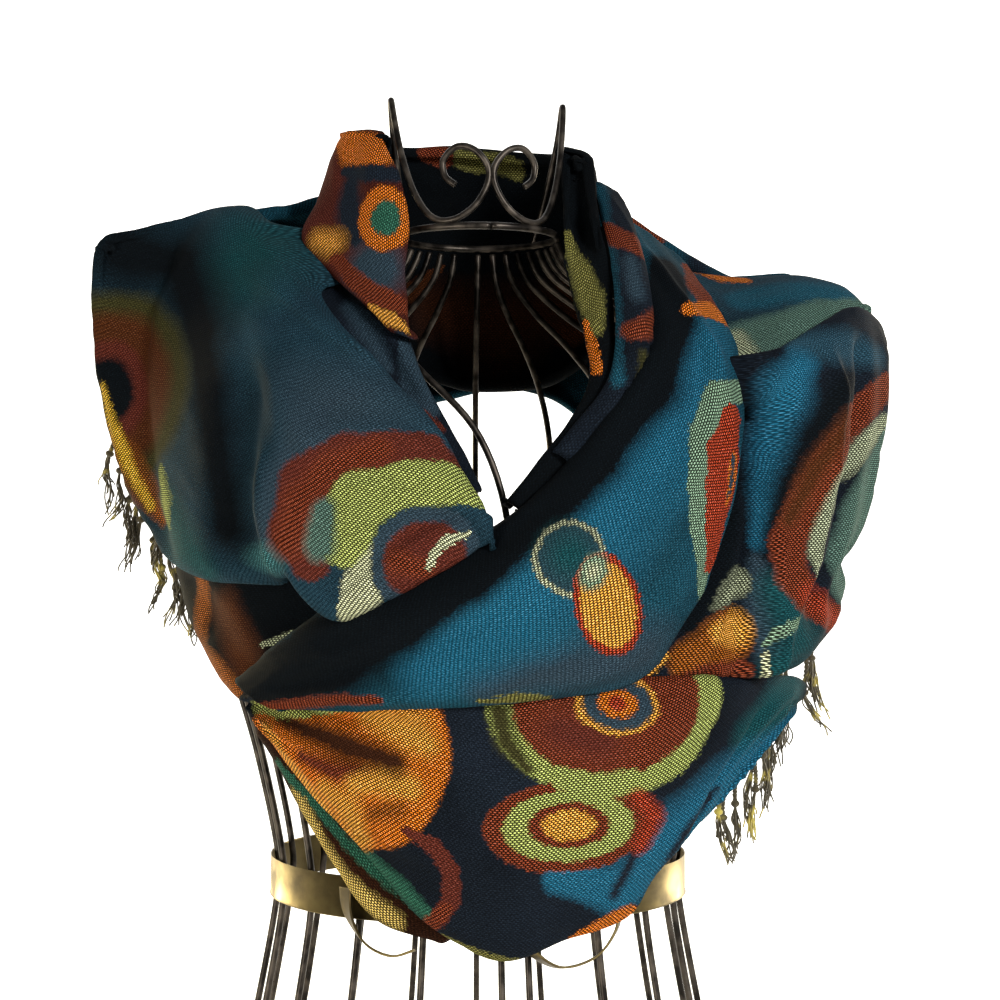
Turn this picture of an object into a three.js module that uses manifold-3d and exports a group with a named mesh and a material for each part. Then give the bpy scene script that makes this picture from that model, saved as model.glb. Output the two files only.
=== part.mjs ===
// A woven pashmina shawl wrapped as a cowl on a countertop wire dress form.
// The cloth is a 2 mm wall. Each stretch that shows is one loft of sections: a section leaves its top
// edge, swells out and comes back at its low edge, and both edges curl under as rolled folds.
// Frame: +X to the right of someone who faces the form, -Y towards them, +Z up, millimetres.
// The tables count from the foot of the neck's axis, on the surface that the form stands on. The part's
// origin is on that surface too, under the middle of the part's bounding box.
import * as THREE from "three";
import { mergeVertices } from "three/addons/utils/BufferGeometryUtils.js";
import Module from "manifold-3d";

const wasm = await Module();
wasm.setup();

// Cloth sizes
const WALL = 2; // thickness of the cloth wall
const SEAM = 0.4; // gap between two pieces where they meet
const LIP = 4; // radius of the rolled edge of a fold
const LIP_STEPS = 2; // steps in one rolled edge
const LIP_TURN = Math.PI * 0.75; // how far a rolled edge turns under
const TRIM = 0.05; // a cut leaves out facets smaller than this
const FADE = 0.18; // share of a fold's length over which it dies away at each end

// Fringe sizes
const TASSEL = { long: 88, cord: 1.4, knot: 2.6, tip: 1.2, sides: 3 };
const TASSEL_KNOT_AT = 0.62; // share of the tassel's length where its knot sits
const STRIP = { tall: 6, wall: 1.6 };

// Dress form sizes
const FORM_TURN = THREE.MathUtils.degToRad(10); // the neck's scrolls face a little to the right
const WIRE = 2.2; // radius of a wire of the cage
const WIRE_SIDES = 5;
const NECK = { z: 633, r: 52, wire: 2.4 };
const SCROLL_WIRE = 2;
const BAND = { low: 203, tall: 26, wall: 1.4, x: 136.8, y: 97.8 };
const BASE = { x: 168, y: 132, wide: 9, tall: 5 };
const BOW = { wide: 14, wall: 1.4 };

// Where the part's origin is, from the foot of the neck's axis: under the middle of its bounding box.
const ORIGIN = { x: 6.4, y: -19.8 };

const CLOTH = { teal: 0x123f52, dark: 0x101c22, rust: 0x7a2f16, olive: 0x5f6a2a, fringe: 0x5a5222 };
const METAL = { wire: 0x2b2622, brass: 0x8a7740 };

const v3 = (p) => new THREE.Vector3(p[0], p[1], p[2]);

// Table tools: a column read smoothly between the rows.
function catmull(a, b, c, d, t) {
  const t2 = t * t;
  const t3 = t2 * t;
  return 0.5 * (2 * b + (c - a) * t + (2 * a - 5 * b + 4 * c - d) * t2 + (3 * b - a - 3 * c + d) * t3);
}

function readColumn(rows, column, s) {
  const last = rows.length - 1;
  const at = Math.min(Math.max(s, 0), 1) * last;
  const i = Math.min(Math.floor(at), last - 1);
  const row = (k) => rows[Math.min(Math.max(k, 0), last)][column];
  const [a, b, c, d] = [row(i - 1), row(i), row(i + 1), row(i + 2)];
  if (typeof b === "number") return catmull(a, b, c, d, at - i);
  return v3([0, 1, 2].map((k) => catmull(a[k], b[k], c[k], d[k], at - i)));
}

// One section of a stretch, at share s of its length: its two edges and the way it swells.
function sectionAt(stretch, s) {
  const top = readColumn(stretch.rows, "top", s);
  const low = readColumn(stretch.rows, "low", s);
  const swell = readColumn(stretch.rows, "swell", s);
  const down = low.clone().sub(top).normalize();
  const middle = top.clone().add(low).multiplyScalar(0.5);
  const face = v3(stretch.face ?? [middle.x, middle.y, 0]).normalize();
  const out = face.addScaledVector(down, -face.dot(down)).normalize();
  return { top, low, swell, down, out };
}

// How far the folds lift a point at shares s and t: each fold is a soft ridge or trough along a line.
function foldLift(stretch, s, t) {
  let lift = 0;
  for (const fold of stretch.folds ?? []) {
    const [s0, t0] = fold.from;
    const [s1, t1] = fold.to;
    const [u, v] = [(s1 - s0) * stretch.long, (t1 - t0) * stretch.wide];
    const [x, y] = [(s - s0) * stretch.long, (t - t0) * stretch.wide];
    const along = (x * u + y * v) / (u * u + v * v);
    const beside = Math.abs(x * v - y * u) / Math.hypot(u, v);
    const strength = THREE.MathUtils.smoothstep(Math.min(along, 1 - along) / FADE, 0, 1);
    lift += fold.depth * strength * Math.exp(-((beside / fold.width) ** 2));
  }
  return lift;
}

// A point of the cloth's middle surface. t runs from 0 at the top edge to 1 at the low edge.
function clothPoint(stretch, s, t) {
  const { top, low, swell, out } = sectionAt(stretch, s);
  const share = (1 - Math.cos(Math.PI * t)) / 2;
  const bulge = swell * Math.pow(Math.sin(Math.PI * t), stretch.flat ?? 1);
  return top.lerp(low, share).addScaledVector(out, bulge + foldLift(stretch, s, t));
}

// A point of a rolled edge: the cloth curls back behind the fold.
function lipPoint(stretch, s, atTop, turn) {
  const { top, low, down, out } = sectionAt(stretch, s);
  const edge = atTop ? top : low;
  const inward = atTop ? 1 : -1;
  const lift = foldLift(stretch, s, atTop ? 0 : 1);
  return edge
    .addScaledVector(down, inward * LIP * (1 - Math.cos(turn)))
    .addScaledVector(out, lift - LIP * Math.sin(turn));
}

// The middle surface of a stretch as a grid, from its first section to its last.
function clothGrid(stretch) {
  const { across, along } = stretch;
  const grid = [];
  for (let i = 0; i <= along; i++) {
    const s = i / along;
    const line = [];
    for (let k = LIP_STEPS; k > 0; k--) line.push(lipPoint(stretch, s, true, (LIP_TURN * k) / LIP_STEPS));
    for (let j = 0; j <= across; j++) line.push(clothPoint(stretch, s, j / across));
    for (let k = 1; k <= LIP_STEPS; k++) line.push(lipPoint(stretch, s, false, (LIP_TURN * k) / LIP_STEPS));
    grid.push(line);
  }
  return grid;
}

// The grid moved along its own normals by a distance.
function offsetGrid(grid, distance) {
  const clampIndex = (k, count) => Math.min(Math.max(k, 0), count - 1);
  const pick = (i, j) => grid[clampIndex(i, grid.length)][clampIndex(j, grid[0].length)];
  return grid.map((line, i) =>
    line.map((point, j) => {
      const alongStep = pick(i + 1, j).clone().sub(pick(i - 1, j));
      const acrossStep = pick(i, j + 1).clone().sub(pick(i, j - 1));
      const normal = alongStep.cross(acrossStep).normalize();
      return point.clone().addScaledVector(normal, distance);
    }),
  );
}

// The grid with its border moved outwards by a distance, so that a fattened wall is fatter at its rim too.
function growGrid(grid, distance) {
  const grown = grid.map((line) => line.map((point) => point.clone()));
  const push = (to, from) => to.addScaledVector(to.clone().sub(from).normalize(), distance);
  const lastRow = grid.length - 1;
  const lastColumn = grid[0].length - 1;
  for (const line of grown) {
    push(line[0], line[1]);
    push(line[lastColumn], line[lastColumn - 1]);
  }
  for (let j = 0; j <= lastColumn; j++) {
    push(grown[0][j], grown[1][j]);
    push(grown[lastRow][j], grown[lastRow - 1][j]);
  }
  return grown;
}

// A closed wall of a thickness round a grid.
function wallGeometry(grid, thickness) {
  const rows = grid.length;
  const columns = grid[0].length;
  const sheets = [offsetGrid(grid, thickness / 2), offsetGrid(grid, -thickness / 2)];
  const positions = sheets.flatMap((sheet) => sheet.flatMap((line) => line.flatMap((p) => p.toArray())));
  const index = [];
  const id = (sheet, i, j) => (sheet * rows + i) * columns + j;
  const quad = (a, b, c, d) => index.push(a, b, c, a, c, d);
  for (let i = 0; i < rows - 1; i++) {
    for (let j = 0; j < columns - 1; j++) {
      quad(id(0, i, j), id(0, i + 1, j), id(0, i + 1, j + 1), id(0, i, j + 1));
      quad(id(1, i, j), id(1, i, j + 1), id(1, i + 1, j + 1), id(1, i + 1, j));
    }
    quad(id(0, i, 0), id(1, i, 0), id(1, i + 1, 0), id(0, i + 1, 0));
    const j = columns - 1;
    quad(id(0, i, j), id(0, i + 1, j), id(1, i + 1, j), id(1, i, j));
  }
  for (let j = 0; j < columns - 1; j++) {
    quad(id(0, 0, j), id(0, 0, j + 1), id(1, 0, j + 1), id(1, 0, j));
    const i = rows - 1;
    quad(id(0, i, j), id(1, i, j), id(1, i, j + 1), id(0, i, j + 1));
  }
  const geometry = new THREE.BufferGeometry();
  geometry.setAttribute("position", new THREE.Float32BufferAttribute(positions, 3));
  geometry.setIndex(index);
  return geometry;
}

// Booleans: a geometry as a solid, and back.
function solidOf(geometry) {
  const bare = geometry.index ? geometry.toNonIndexed() : geometry.clone();
  bare.deleteAttribute("normal");
  bare.deleteAttribute("uv");
  const merged = mergeVertices(bare, 1e-3);
  const vertProperties = merged.attributes.position.array;
  const triVerts = new Uint32Array(merged.index.array);
  const make = () => new wasm.Manifold(new wasm.Mesh({ numProp: 3, vertProperties, triVerts }));
  const solid = make();
  if (solid.volume() >= 0) return solid;
  triVerts.reverse();
  return make();
}

function geometryOf(solid) {
  const mesh = solid.getMesh();
  const geometry = new THREE.BufferGeometry();
  geometry.setAttribute("position", new THREE.BufferAttribute(mesh.vertProperties, 3));
  geometry.setIndex(new THREE.BufferAttribute(mesh.triVerts, 1));
  return geometry;
}

function largestBody(solid) {
  return solid.decompose().reduce((best, body) => (body.volume() > best.volume() ? body : best));
}

// The stretches of cloth. Each row is one section: its top edge, its low edge and how far the cloth
// swells out between them. long and wide are the sizes of the stretch that its fold lines use, face is
// the way it faces if not straight away from the axis, and under names the stretches that lie over it
// and trim it.
const stretches = [
  {
    name: "diagonal_band",
    colour: CLOTH.teal,
    along: 20,
    across: 7,
    long: 480,
    wide: 130,
    flat: 0.9,
    rows: [
      { top: [84, 14, 655], low: [136, 20, 622], swell: 2 },
      { top: [98, -48, 602], low: [157, -42, 575], swell: 7 },
      { top: [102, -80, 556], low: [163, -70, 530], swell: 17 },
      { top: [80, -106, 514], low: [156, -98, 472], swell: 28 },
      { top: [46, -120, 474], low: [141, -122, 425], swell: 38 },
      { top: [10, -122, 444], low: [125, -138, 396], swell: 42 },
      { top: [-30, -120, 425], low: [95, -148, 357], swell: 38 },
      { top: [-72, -116, 406], low: [49, -155, 346], swell: 30 },
      { top: [-98, -110, 388], low: [-3, -152, 341], swell: 22 },
      { top: [-124, -94, 368], low: [-55, -138, 339], swell: 15 },
      { top: [-146, -70, 350], low: [-120, -104, 334], swell: 8 },
    ],
    folds: [
      { from: [0.2, 0.3], to: [0.75, 0.22], width: 14, depth: -5 },
      { from: [0.5, 0.8], to: [0.95, 0.7], width: 12, depth: 4 },
    ],
    under: ["shoulder_flap_left"],
  },
  {
    name: "neck_fold_left",
    colour: CLOTH.rust,
    along: 11,
    across: 5,
    long: 170,
    wide: 60,
    rows: [
      { top: [-91, 15, 703], low: [-66, 0, 700], swell: 8 },
      { top: [-95, 10, 686], low: [-55, -29, 675], swell: 12 },
      { top: [-102, 0, 658], low: [-46, -45, 644], swell: 14 },
      { top: [-111, -15, 631], low: [-45, -60, 616], swell: 15 },
      { top: [-92, -45, 604], low: [-45, -72, 590], swell: 12 },
      { top: [-68, -72, 581], low: [-43, -84, 571], swell: 9 },
      { top: [-54, -86, 566], low: [-41, -92, 560], swell: 6 },
    ],
    folds: [{ from: [0, 0.55], to: [0.7, 0.4], width: 8, depth: -4 }],
  },
  {
    name: "shoulder_flap_left",
    colour: CLOTH.teal,
    along: 22,
    across: 9,
    long: 380,
    wide: 220,
    flat: 0.85,
    rows: [
      { top: [6, -146, 452], low: [8, -150, 434], swell: 5 },
      { top: [-18, -136, 494], low: [-17, -150, 421], swell: 10 },
      { top: [-46, -120, 529], low: [-49, -146, 404], swell: 16 },
      { top: [-82, -94, 566], low: [-81, -138, 391], swell: 24 },
      { top: [-107, -60, 601], low: [-103, -130, 414], swell: 32 },
      { top: [-126, -16, 631], low: [-135, -106, 411], swell: 38 },
      { top: [-153, 18, 656], low: [-161, -74, 411], swell: 40 },
      { top: [-186, 32, 654], low: [-186, -40, 421], swell: 36 },
      { top: [-222, 34, 646], low: [-207, -14, 447], swell: 28 },
      { top: [-248, 28, 640], low: [-227, 4, 480], swell: 18 },
      { top: [-256, 26, 630], low: [-243, 12, 510], swell: 8 },
    ],
    folds: [
      { from: [0.42, 0.35], to: [0.48, 1.1], width: 14, depth: -9 },
      { from: [0.34, 0.3], to: [0.36, 1.05], width: 16, depth: 5 },
      { from: [0.5, -0.1], to: [0.7, 0.55], width: 18, depth: 5 },
      { from: [0.72, 0.1], to: [0.66, 0.95], width: 16, depth: -6 },
      { from: [0.9, 0.05], to: [0.75, 0.85], width: 14, depth: 4 },
    ],
    under: ["neck_fold_left"],
  },
  {
    name: "front_point",
    colour: CLOTH.teal,
    along: 18,
    across: 8,
    long: 360,
    wide: 150,
    flat: 0.8,
    rows: [
      { top: [-142, -64, 338], low: [-139, -66, 326], swell: 5 },
      { top: [-106, -92, 344], low: [-106, -98, 294], swell: 9 },
      { top: [-67, -119, 350], low: [-67, -113, 253], swell: 16 },
      { top: [-26, -136, 354], low: [-26, -124, 211], swell: 19 },
      { top: [14, -143, 357], low: [14, -128, 190], swell: 20 },
      { top: [49, -145, 359], low: [52, -126, 202], swell: 20 },
      { top: [90, -141, 358], low: [90, -114, 215], swell: 19 },
      { top: [133, -122, 356], low: [120, -94, 250], swell: 14 },
      { top: [168, -94, 353], low: [156, -70, 290], swell: 9 },
      { top: [196, -52, 349], low: [188, -40, 318], swell: 6 },
      { top: [210, -18, 341], low: [206, -12, 329], swell: 4 },
    ],
    folds: [
      { from: [-0.05, 0.42], to: [0.36, 0.36], width: 12, depth: -6 },
      { from: [-0.05, 0.16], to: [0.4, 0.18], width: 13, depth: 4 },
      { from: [0, 0.68], to: [0.34, 0.56], width: 12, depth: 5 },
      { from: [0.95, 0.5], to: [0.6, 0.98], width: 9, depth: -7 },
      { from: [0.98, 0.75], to: [0.68, 1.1], width: 8, depth: 6 },
      { from: [0.92, 0.25], to: [0.62, 0.75], width: 11, depth: 4 },
    ],
    under: ["diagonal_band"],
  },
  {
    name: "shoulder_flap_right",
    colour: CLOTH.teal,
    along: 16,
    across: 9,
    long: 300,
    wide: 200,
    rows: [
      { top: [153, -81, 539], low: [100, -133, 349], swell: 6 },
      { top: [173, -90, 546], low: [128, -126, 350], swell: 9 },
      { top: [196, -78, 559], low: [161, -102, 350], swell: 18 },
      { top: [221, -56, 574], low: [193, -70, 355], swell: 24 },
      { top: [243, -28, 585], low: [210, -40, 364], swell: 22 },
      { top: [262, -2, 580], low: [225, -14, 374], swell: 14 },
      { top: [272, 13, 568], low: [237, 4, 388], swell: 6 },
    ],
    folds: [
      { from: [0.42, 0.1], to: [0.3, 1.05], width: 12, depth: 12 },
      { from: [0.27, 0.15], to: [0.2, 1.1], width: 10, depth: -8 },
      { from: [0.62, 0.15], to: [0.46, 0.8], width: 14, depth: -12 },
      { from: [0.8, 0.1], to: [0.72, 0.9], width: 14, depth: 5 },
      { from: [0.5, 0.7], to: [1.5, 0.66], width: 15, depth: -13 },
    ],
    under: ["diagonal_band", "front_point"],
  },
  {
    name: "shoulder_top_right",
    colour: CLOTH.teal,
    along: 8,
    across: 5,
    long: 120,
    wide: 100,
    face: [0, -0.3, 1],
    rows: [
      { top: [134, 26, 614], low: [148, -70, 536], swell: 6 },
      { top: [172, 30, 610], low: [174, -68, 540], swell: 8 },
      { top: [214, 30, 611], low: [201, -55, 551], swell: 12 },
      { top: [244, 20, 603], low: [226, -33, 563], swell: 9 },
      { top: [256, 8, 590], low: [246, -6, 570], swell: 4 },
    ],
    folds: [],
    under: ["diagonal_band", "shoulder_flap_right"],
  },
  {
    name: "neck_pleat_outer",
    colour: CLOTH.dark,
    along: 12,
    across: 4,
    long: 190,
    wide: 40,
    rows: [
      { top: [78, 4, 670], low: [97, -2, 652], swell: 6 },
      { top: [85, -46, 624], low: [106, -47, 603], swell: 10 },
      { top: [87, -72, 590], low: [108, -76, 565], swell: 11 },
      { top: [86, -92, 554], low: [106, -94, 534], swell: 10 },
      { top: [78, -106, 528], low: [94, -106, 510], swell: 8 },
      { top: [50, -122, 492], low: [62, -120, 482], swell: 6 },
    ],
    under: ["diagonal_band"],
  },
  {
    name: "neck_pleat_inner",
    colour: CLOTH.dark,
    along: 12,
    across: 4,
    long: 230,
    wide: 40,
    rows: [
      { top: [57, 12, 692], low: [75, 2, 684], swell: 7 },
      { top: [55, -25, 631], low: [79, -36, 634], swell: 11 },
      { top: [62, -52, 586], low: [84, -62, 592], swell: 11 },
      { top: [71, -84, 542], low: [82, -82, 556], swell: 8 },
      { top: [60, -104, 512], low: [74, -98, 526], swell: 6 },
      { top: [20, -126, 462], low: [33, -118, 474], swell: 5 },
    ],
    under: ["neck_pleat_outer", "diagonal_band"],
  },
  {
    name: "neck_tuck_left",
    colour: CLOTH.dark,
    along: 11,
    across: 4,
    long: 190,
    wide: 40,
    rows: [
      { top: [-124, -4, 622], low: [-100, -22, 620], swell: 8 },
      { top: [-107, -52, 584], low: [-73, -52, 585], swell: 12 },
      { top: [-87, -78, 551], low: [-47, -73, 565], swell: 13 },
      { top: [-58, -100, 522], low: [-31, -93, 530], swell: 10 },
      { top: [-37, -117, 495], low: [-15, -112, 502], swell: 8 },
      { top: [-12, -134, 466], low: [2, -130, 469], swell: 5 },
    ],
    folds: [{ from: [0.1, 0.5], to: [0.7, 0.55], width: 5, depth: -6 }],
    under: ["neck_fold_left", "shoulder_flap_left"],
  },
  {
    name: "pocket_left",
    colour: CLOTH.rust,
    along: 9,
    across: 5,
    long: 170,
    wide: 90,
    rows: [
      { top: [-199, 10, 420], low: [-176, 20, 360], swell: 8 },
      { top: [-182, -30, 420], low: [-164, -15, 343], swell: 9 },
      { top: [-148, -66, 424], low: [-149, -50, 334], swell: 9 },
      { top: [-106, -88, 426], low: [-130, -72, 338], swell: 8 },
      { top: [-76, -96, 428], low: [-100, -90, 345], swell: 6 },
      { top: [-44, -104, 430], low: [-56, -104, 353], swell: 5 },
    ],
    folds: [{ from: [0.1, 0.2], to: [0.6, 0.8], width: 10, depth: -5 }],
    under: ["shoulder_flap_left", "diagonal_band", "front_point"],
  },
  {
    name: "collar_back",
    colour: CLOTH.dark,
    along: 14,
    across: 6,
    long: 260,
    wide: 170,
    rows: [
      { top: [-66, -4, 700], low: [-98, 12, 612], swell: 6 },
      { top: [-76, 34, 703], low: [-90, 55, 590], swell: 8 },
      { top: [-52, 66, 706], low: [-62, 92, 560], swell: 10 },
      { top: [-18, 77, 708], low: [-20, 108, 541], swell: 12 },
      { top: [16, 77, 705], low: [18, 110, 539], swell: 12 },
      { top: [49, 64, 700], low: [56, 98, 545], swell: 10 },
      { top: [70, 28, 694], low: [88, 60, 570], swell: 8 },
      { top: [74, 0, 684], low: [94, 16, 600], swell: 6 },
    ],
    folds: [
      { from: [0.3, 0.2], to: [0.2, 1.1], width: 12, depth: 5 },
      { from: [0.72, 0.15], to: [0.8, 1.1], width: 12, depth: 5 },
    ],
    under: ["neck_fold_left", "neck_pleat_inner", "neck_pleat_outer", "diagonal_band"],
  },
  {
    name: "under_layer_left",
    colour: CLOTH.olive,
    along: 9,
    across: 4,
    long: 170,
    wide: 40,
    rows: [
      { top: [-128, -70, 326], low: [-134, -60, 311], swell: 5 },
      { top: [-90, -92, 300], low: [-114, -80, 282], swell: 7 },
      { top: [-58, -102, 266], low: [-89, -92, 244], swell: 8 },
      { top: [-28, -108, 231], low: [-61, -100, 208], swell: 8 },
      { top: [-4, -112, 210], low: [-24, -108, 197], swell: 5 },
    ],
    under: ["front_point"],
  },
  {
    name: "back_left",
    colour: CLOTH.teal,
    along: 14,
    across: 7,
    long: 330,
    wide: 200,
    rows: [
      { top: [-256, 26, 630], low: [-244, 13, 505], swell: 4 },
      { top: [-225, 37, 644], low: [-225, 56, 450], swell: 16 },
      { top: [-186, 38, 652], low: [-190, 85, 425], swell: 26 },
      { top: [-153, 34, 656], low: [-150, 105, 440], swell: 26 },
      { top: [-126, 42, 662], low: [-108, 118, 480], swell: 22 },
      { top: [-95, 62, 677], low: [-60, 125, 522], swell: 18 },
      { top: [-50, 88, 698], low: [10, 132, 542], swell: 12 },
    ],
    folds: [
      { from: [0.25, 0.05], to: [0.35, 0.95], width: 16, depth: -8 },
      { from: [0.5, 0.1], to: [0.6, 1.05], width: 16, depth: 8 },
      { from: [0.75, 0.05], to: [0.85, 0.95], width: 14, depth: -6 },
    ],
    under: ["shoulder_flap_left", "neck_fold_left", "collar_back"],
  },
  {
    name: "back_right",
    colour: CLOTH.teal,
    along: 14,
    across: 7,
    long: 330,
    wide: 200,
    rows: [
      { top: [264, 9, 572], low: [231, 0, 392], swell: 2 },
      { top: [250, 23, 594], low: [222, 42, 388], swell: 8 },
      { top: [215, 34, 613], low: [200, 80, 395], swell: 24 },
      { top: [175, 33, 611], low: [155, 105, 430], swell: 26 },
      { top: [140, 37, 628], low: [105, 118, 485], swell: 22 },
      { top: [100, 60, 660], low: [55, 127, 532], swell: 18 },
      { top: [48, 88, 693], low: [-4, 133, 545], swell: 12 },
    ],
    folds: [
      { from: [-0.6, 0.7], to: [0.4, 0.76], width: 22, depth: -12 },
      { from: [0.3, 0.05], to: [0.36, 0.95], width: 16, depth: -6 },
      { from: [0.48, 0.1], to: [0.56, 1.05], width: 16, depth: 8 },
      { from: [0.7, 0.05], to: [0.82, 0.95], width: 14, depth: -6 },
    ],
    under: ["shoulder_flap_right", "shoulder_top_right", "diagonal_band", "collar_back", "back_left"],
  },
  {
    name: "tail_right",
    colour: CLOTH.rust,
    along: 8,
    across: 3,
    long: 150,
    wide: 60,
    rows: [
      { top: [226, 4, 442], low: [221, 8, 409], swell: 4 },
      { top: [212, -6, 430], low: [208, -2, 389], swell: 5 },
      { top: [196, -20, 404], low: [194, -14, 350], swell: 6 },
      { top: [178, -38, 384], low: [178, -30, 322], swell: 6 },
      { top: [150, -66, 372], low: [152, -56, 316], swell: 6 },
    ],
    under: ["front_point", "shoulder_flap_right", "diagonal_band", "back_right"],
  },
];

// The hems that carry a fringe: each row is a point of the hem, and the tassels hang below it.
const fringes = [
  {
    name: "fringe_left",
    count: 12,
    rows: [
      { hem: [-236, 17, 528] },
      { hem: [-228, 27, 505] },
      { hem: [-219, 35, 480] },
      { hem: [-208, 40, 460] },
      { hem: [-197, 41, 444] },
      { hem: [-185, 40, 440] },
    ],
  },
  {
    name: "fringe_right",
    count: 12,
    rows: [
      { hem: [217, 8, 401] },
      { hem: [204, -2, 381] },
      { hem: [190, -14, 342] },
      { hem: [174, -30, 314] },
      { hem: [151, -52, 308] },
    ],
  },
];

// One tassel: a cord, its knot and a tuft, as a prism whose rings follow a swaying line.
function tasselGeometry(root, number) {
  const profile = [
    { at: -0.03, r: TASSEL.cord },
    { at: TASSEL_KNOT_AT, r: TASSEL.knot },
    { at: 1, r: TASSEL.tip },
  ];
  const long = TASSEL.long * (0.86 + 0.14 * Math.sin(number * 2.3));
  const sway = { x: 3.5 * Math.sin(number * 1.7), y: 2.5 * Math.cos(number * 2.9) };
  const positions = [];
  const index = [];
  for (const { at, r } of profile) {
    for (let k = 0; k < TASSEL.sides; k++) {
      const angle = (2 * Math.PI * k) / TASSEL.sides + at * 2;
      const bend = Math.max(at, 0) ** 1.5;
      positions.push(
        root.x + sway.x * bend + r * Math.cos(angle),
        root.y + sway.y * bend + r * Math.sin(angle),
        root.z - long * at,
      );
    }
  }
  const sides = TASSEL.sides;
  for (let i = 0; i < profile.length - 1; i++) {
    for (let k = 0; k < sides; k++) {
      const [a, b] = [i * sides + k, i * sides + ((k + 1) % sides)];
      index.push(a, a + sides, b, b, a + sides, b + sides);
    }
  }
  const last = (profile.length - 1) * sides;
  index.push(0, 1, 2, last, last + 2, last + 1);
  const geometry = new THREE.BufferGeometry();
  geometry.setAttribute("position", new THREE.Float32BufferAttribute(positions, 3));
  geometry.setIndex(index);
  return geometry;
}

// The strip along a fringed hem, with its tassels fused to it.
function fringeSolid(fringe) {
  const steps = 10;
  const grid = [];
  for (let i = 0; i <= steps; i++) {
    const hem = readColumn(fringe.rows, "hem", i / steps);
    grid.push([hem.clone().setZ(hem.z + STRIP.tall / 2), hem.clone().setZ(hem.z - STRIP.tall / 2)]);
  }
  let solid = solidOf(wallGeometry(grid, STRIP.wall));
  for (let n = 0; n < fringe.count; n++) {
    const root = readColumn(fringe.rows, "hem", (n + 0.5) / fringe.count);
    solid = solid.add(solidOf(tasselGeometry(root, n)));
  }
  return largestBody(solid);
}

// The cage of the dress form: its half width and half depth at each height, and how far each wire has
// turned there from its place on the base to its place on the neck ring.
const cage = [
  { z: BASE.tall + SEAM, x: 163.5, y: 127.5, turn: 0 },
  { z: 60, x: 160, y: 122, turn: 0 },
  { z: 130, x: 145, y: 107, turn: 0 },
  { z: 200, x: 132.4, y: 93.4, turn: 0 },
  { z: 232, x: 132.4, y: 93.4, turn: 0 },
  { z: 296, x: 146, y: 93, turn: 0 },
  { z: 361, x: 164, y: 95, turn: 0 },
  { z: 440, x: 177, y: 98, turn: 0 },
  { z: 500, x: 176, y: 94, turn: 0.08 },
  { z: 538, x: 160, y: 84, turn: 0.24 },
  { z: 566, x: 128, y: 70, turn: 0.42 },
  { z: 588, x: 92, y: 58, turn: 0.66 },
  { z: 610, x: 62, y: 53, turn: 0.88 },
  { z: NECK.z - NECK.wire - 4 * SEAM, x: NECK.r, y: NECK.r, turn: 1 },
];

// The wires of one side, as angles in degrees from the front: on the base and on the neck ring.
const wires = [
  { base: 3.5, neck: 80 },
  { base: 24, neck: 90 },
  { base: 43, neck: 100 },
  { base: 62, neck: 110 },
  { base: 81, neck: 120 },
  { base: 99, neck: 130 },
  { base: 117, neck: 140 },
  { base: 135, neck: 150 },
  { base: 153, neck: 160 },
  { base: 171, neck: 171 },
];

// A closed tube through a list of points. face gives, for each point, a direction that is square to the
// path, from which the tube's corners are counted.
function tubeGeometry(points, radius, sides, face) {
  const positions = [];
  const index = [];
  const last = points.length - 1;
  points.forEach((point, i) => {
    const tangent = points[Math.min(i + 1, last)].clone().sub(points[Math.max(i - 1, 0)]).normalize();
    const first = face(i).clone().addScaledVector(tangent, -face(i).dot(tangent)).normalize();
    const second = tangent.clone().cross(first);
    for (let k = 0; k < sides; k++) {
      const angle = (2 * Math.PI * k) / sides;
      const corner = point.clone().addScaledVector(first, radius * Math.cos(angle));
      positions.push(...corner.addScaledVector(second, radius * Math.sin(angle)).toArray());
    }
  });
  for (let i = 0; i < last; i++) {
    for (let k = 0; k < sides; k++) {
      const [a, b] = [i * sides + k, i * sides + ((k + 1) % sides)];
      index.push(a, b, b + sides, a, b + sides, a + sides);
    }
  }
  for (let k = 1; k < sides - 1; k++) {
    index.push(0, k + 1, k, last * sides, last * sides + k, last * sides + k + 1);
  }
  const geometry = new THREE.BufferGeometry();
  geometry.setAttribute("position", new THREE.Float32BufferAttribute(positions, 3));
  geometry.setIndex(index);
  return geometry;
}

// A direction square to the form's axis, at an angle from the front of the form.
function around(angle) {
  return new THREE.Vector3(Math.sin(angle + FORM_TURN), -Math.cos(angle + FORM_TURN), 0);
}

function cageWire(wire, side) {
  const points = cage.map(({ x, y, z, turn }) => {
    const angle = side * THREE.MathUtils.degToRad(THREE.MathUtils.lerp(wire.base, wire.neck, turn));
    const way = around(angle);
    return new THREE.Vector3(x * way.x, y * way.y, z);
  });
  return tubeGeometry(points, WIRE, WIRE_SIDES, (i) => new THREE.Vector3(points[i].x, points[i].y, 0));
}

// A flat-walled elliptical ring, from z = low up.
function ellipseRing(x, y, wall, low, tall, segments) {
  const outline = (dx, dy) => {
    const curve = new THREE.EllipseCurve(0, 0, dx, dy, 0, 2 * Math.PI);
    return curve.getPoints(segments).slice(0, -1);
  };
  const shape = new THREE.Shape(outline(x, y));
  shape.holes.push(new THREE.Path(outline(x - wall, y - wall)));
  const ring = new THREE.ExtrudeGeometry(shape, { depth: tall, bevelEnabled: false });
  return ring.translate(0, 0, low);
}

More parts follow.
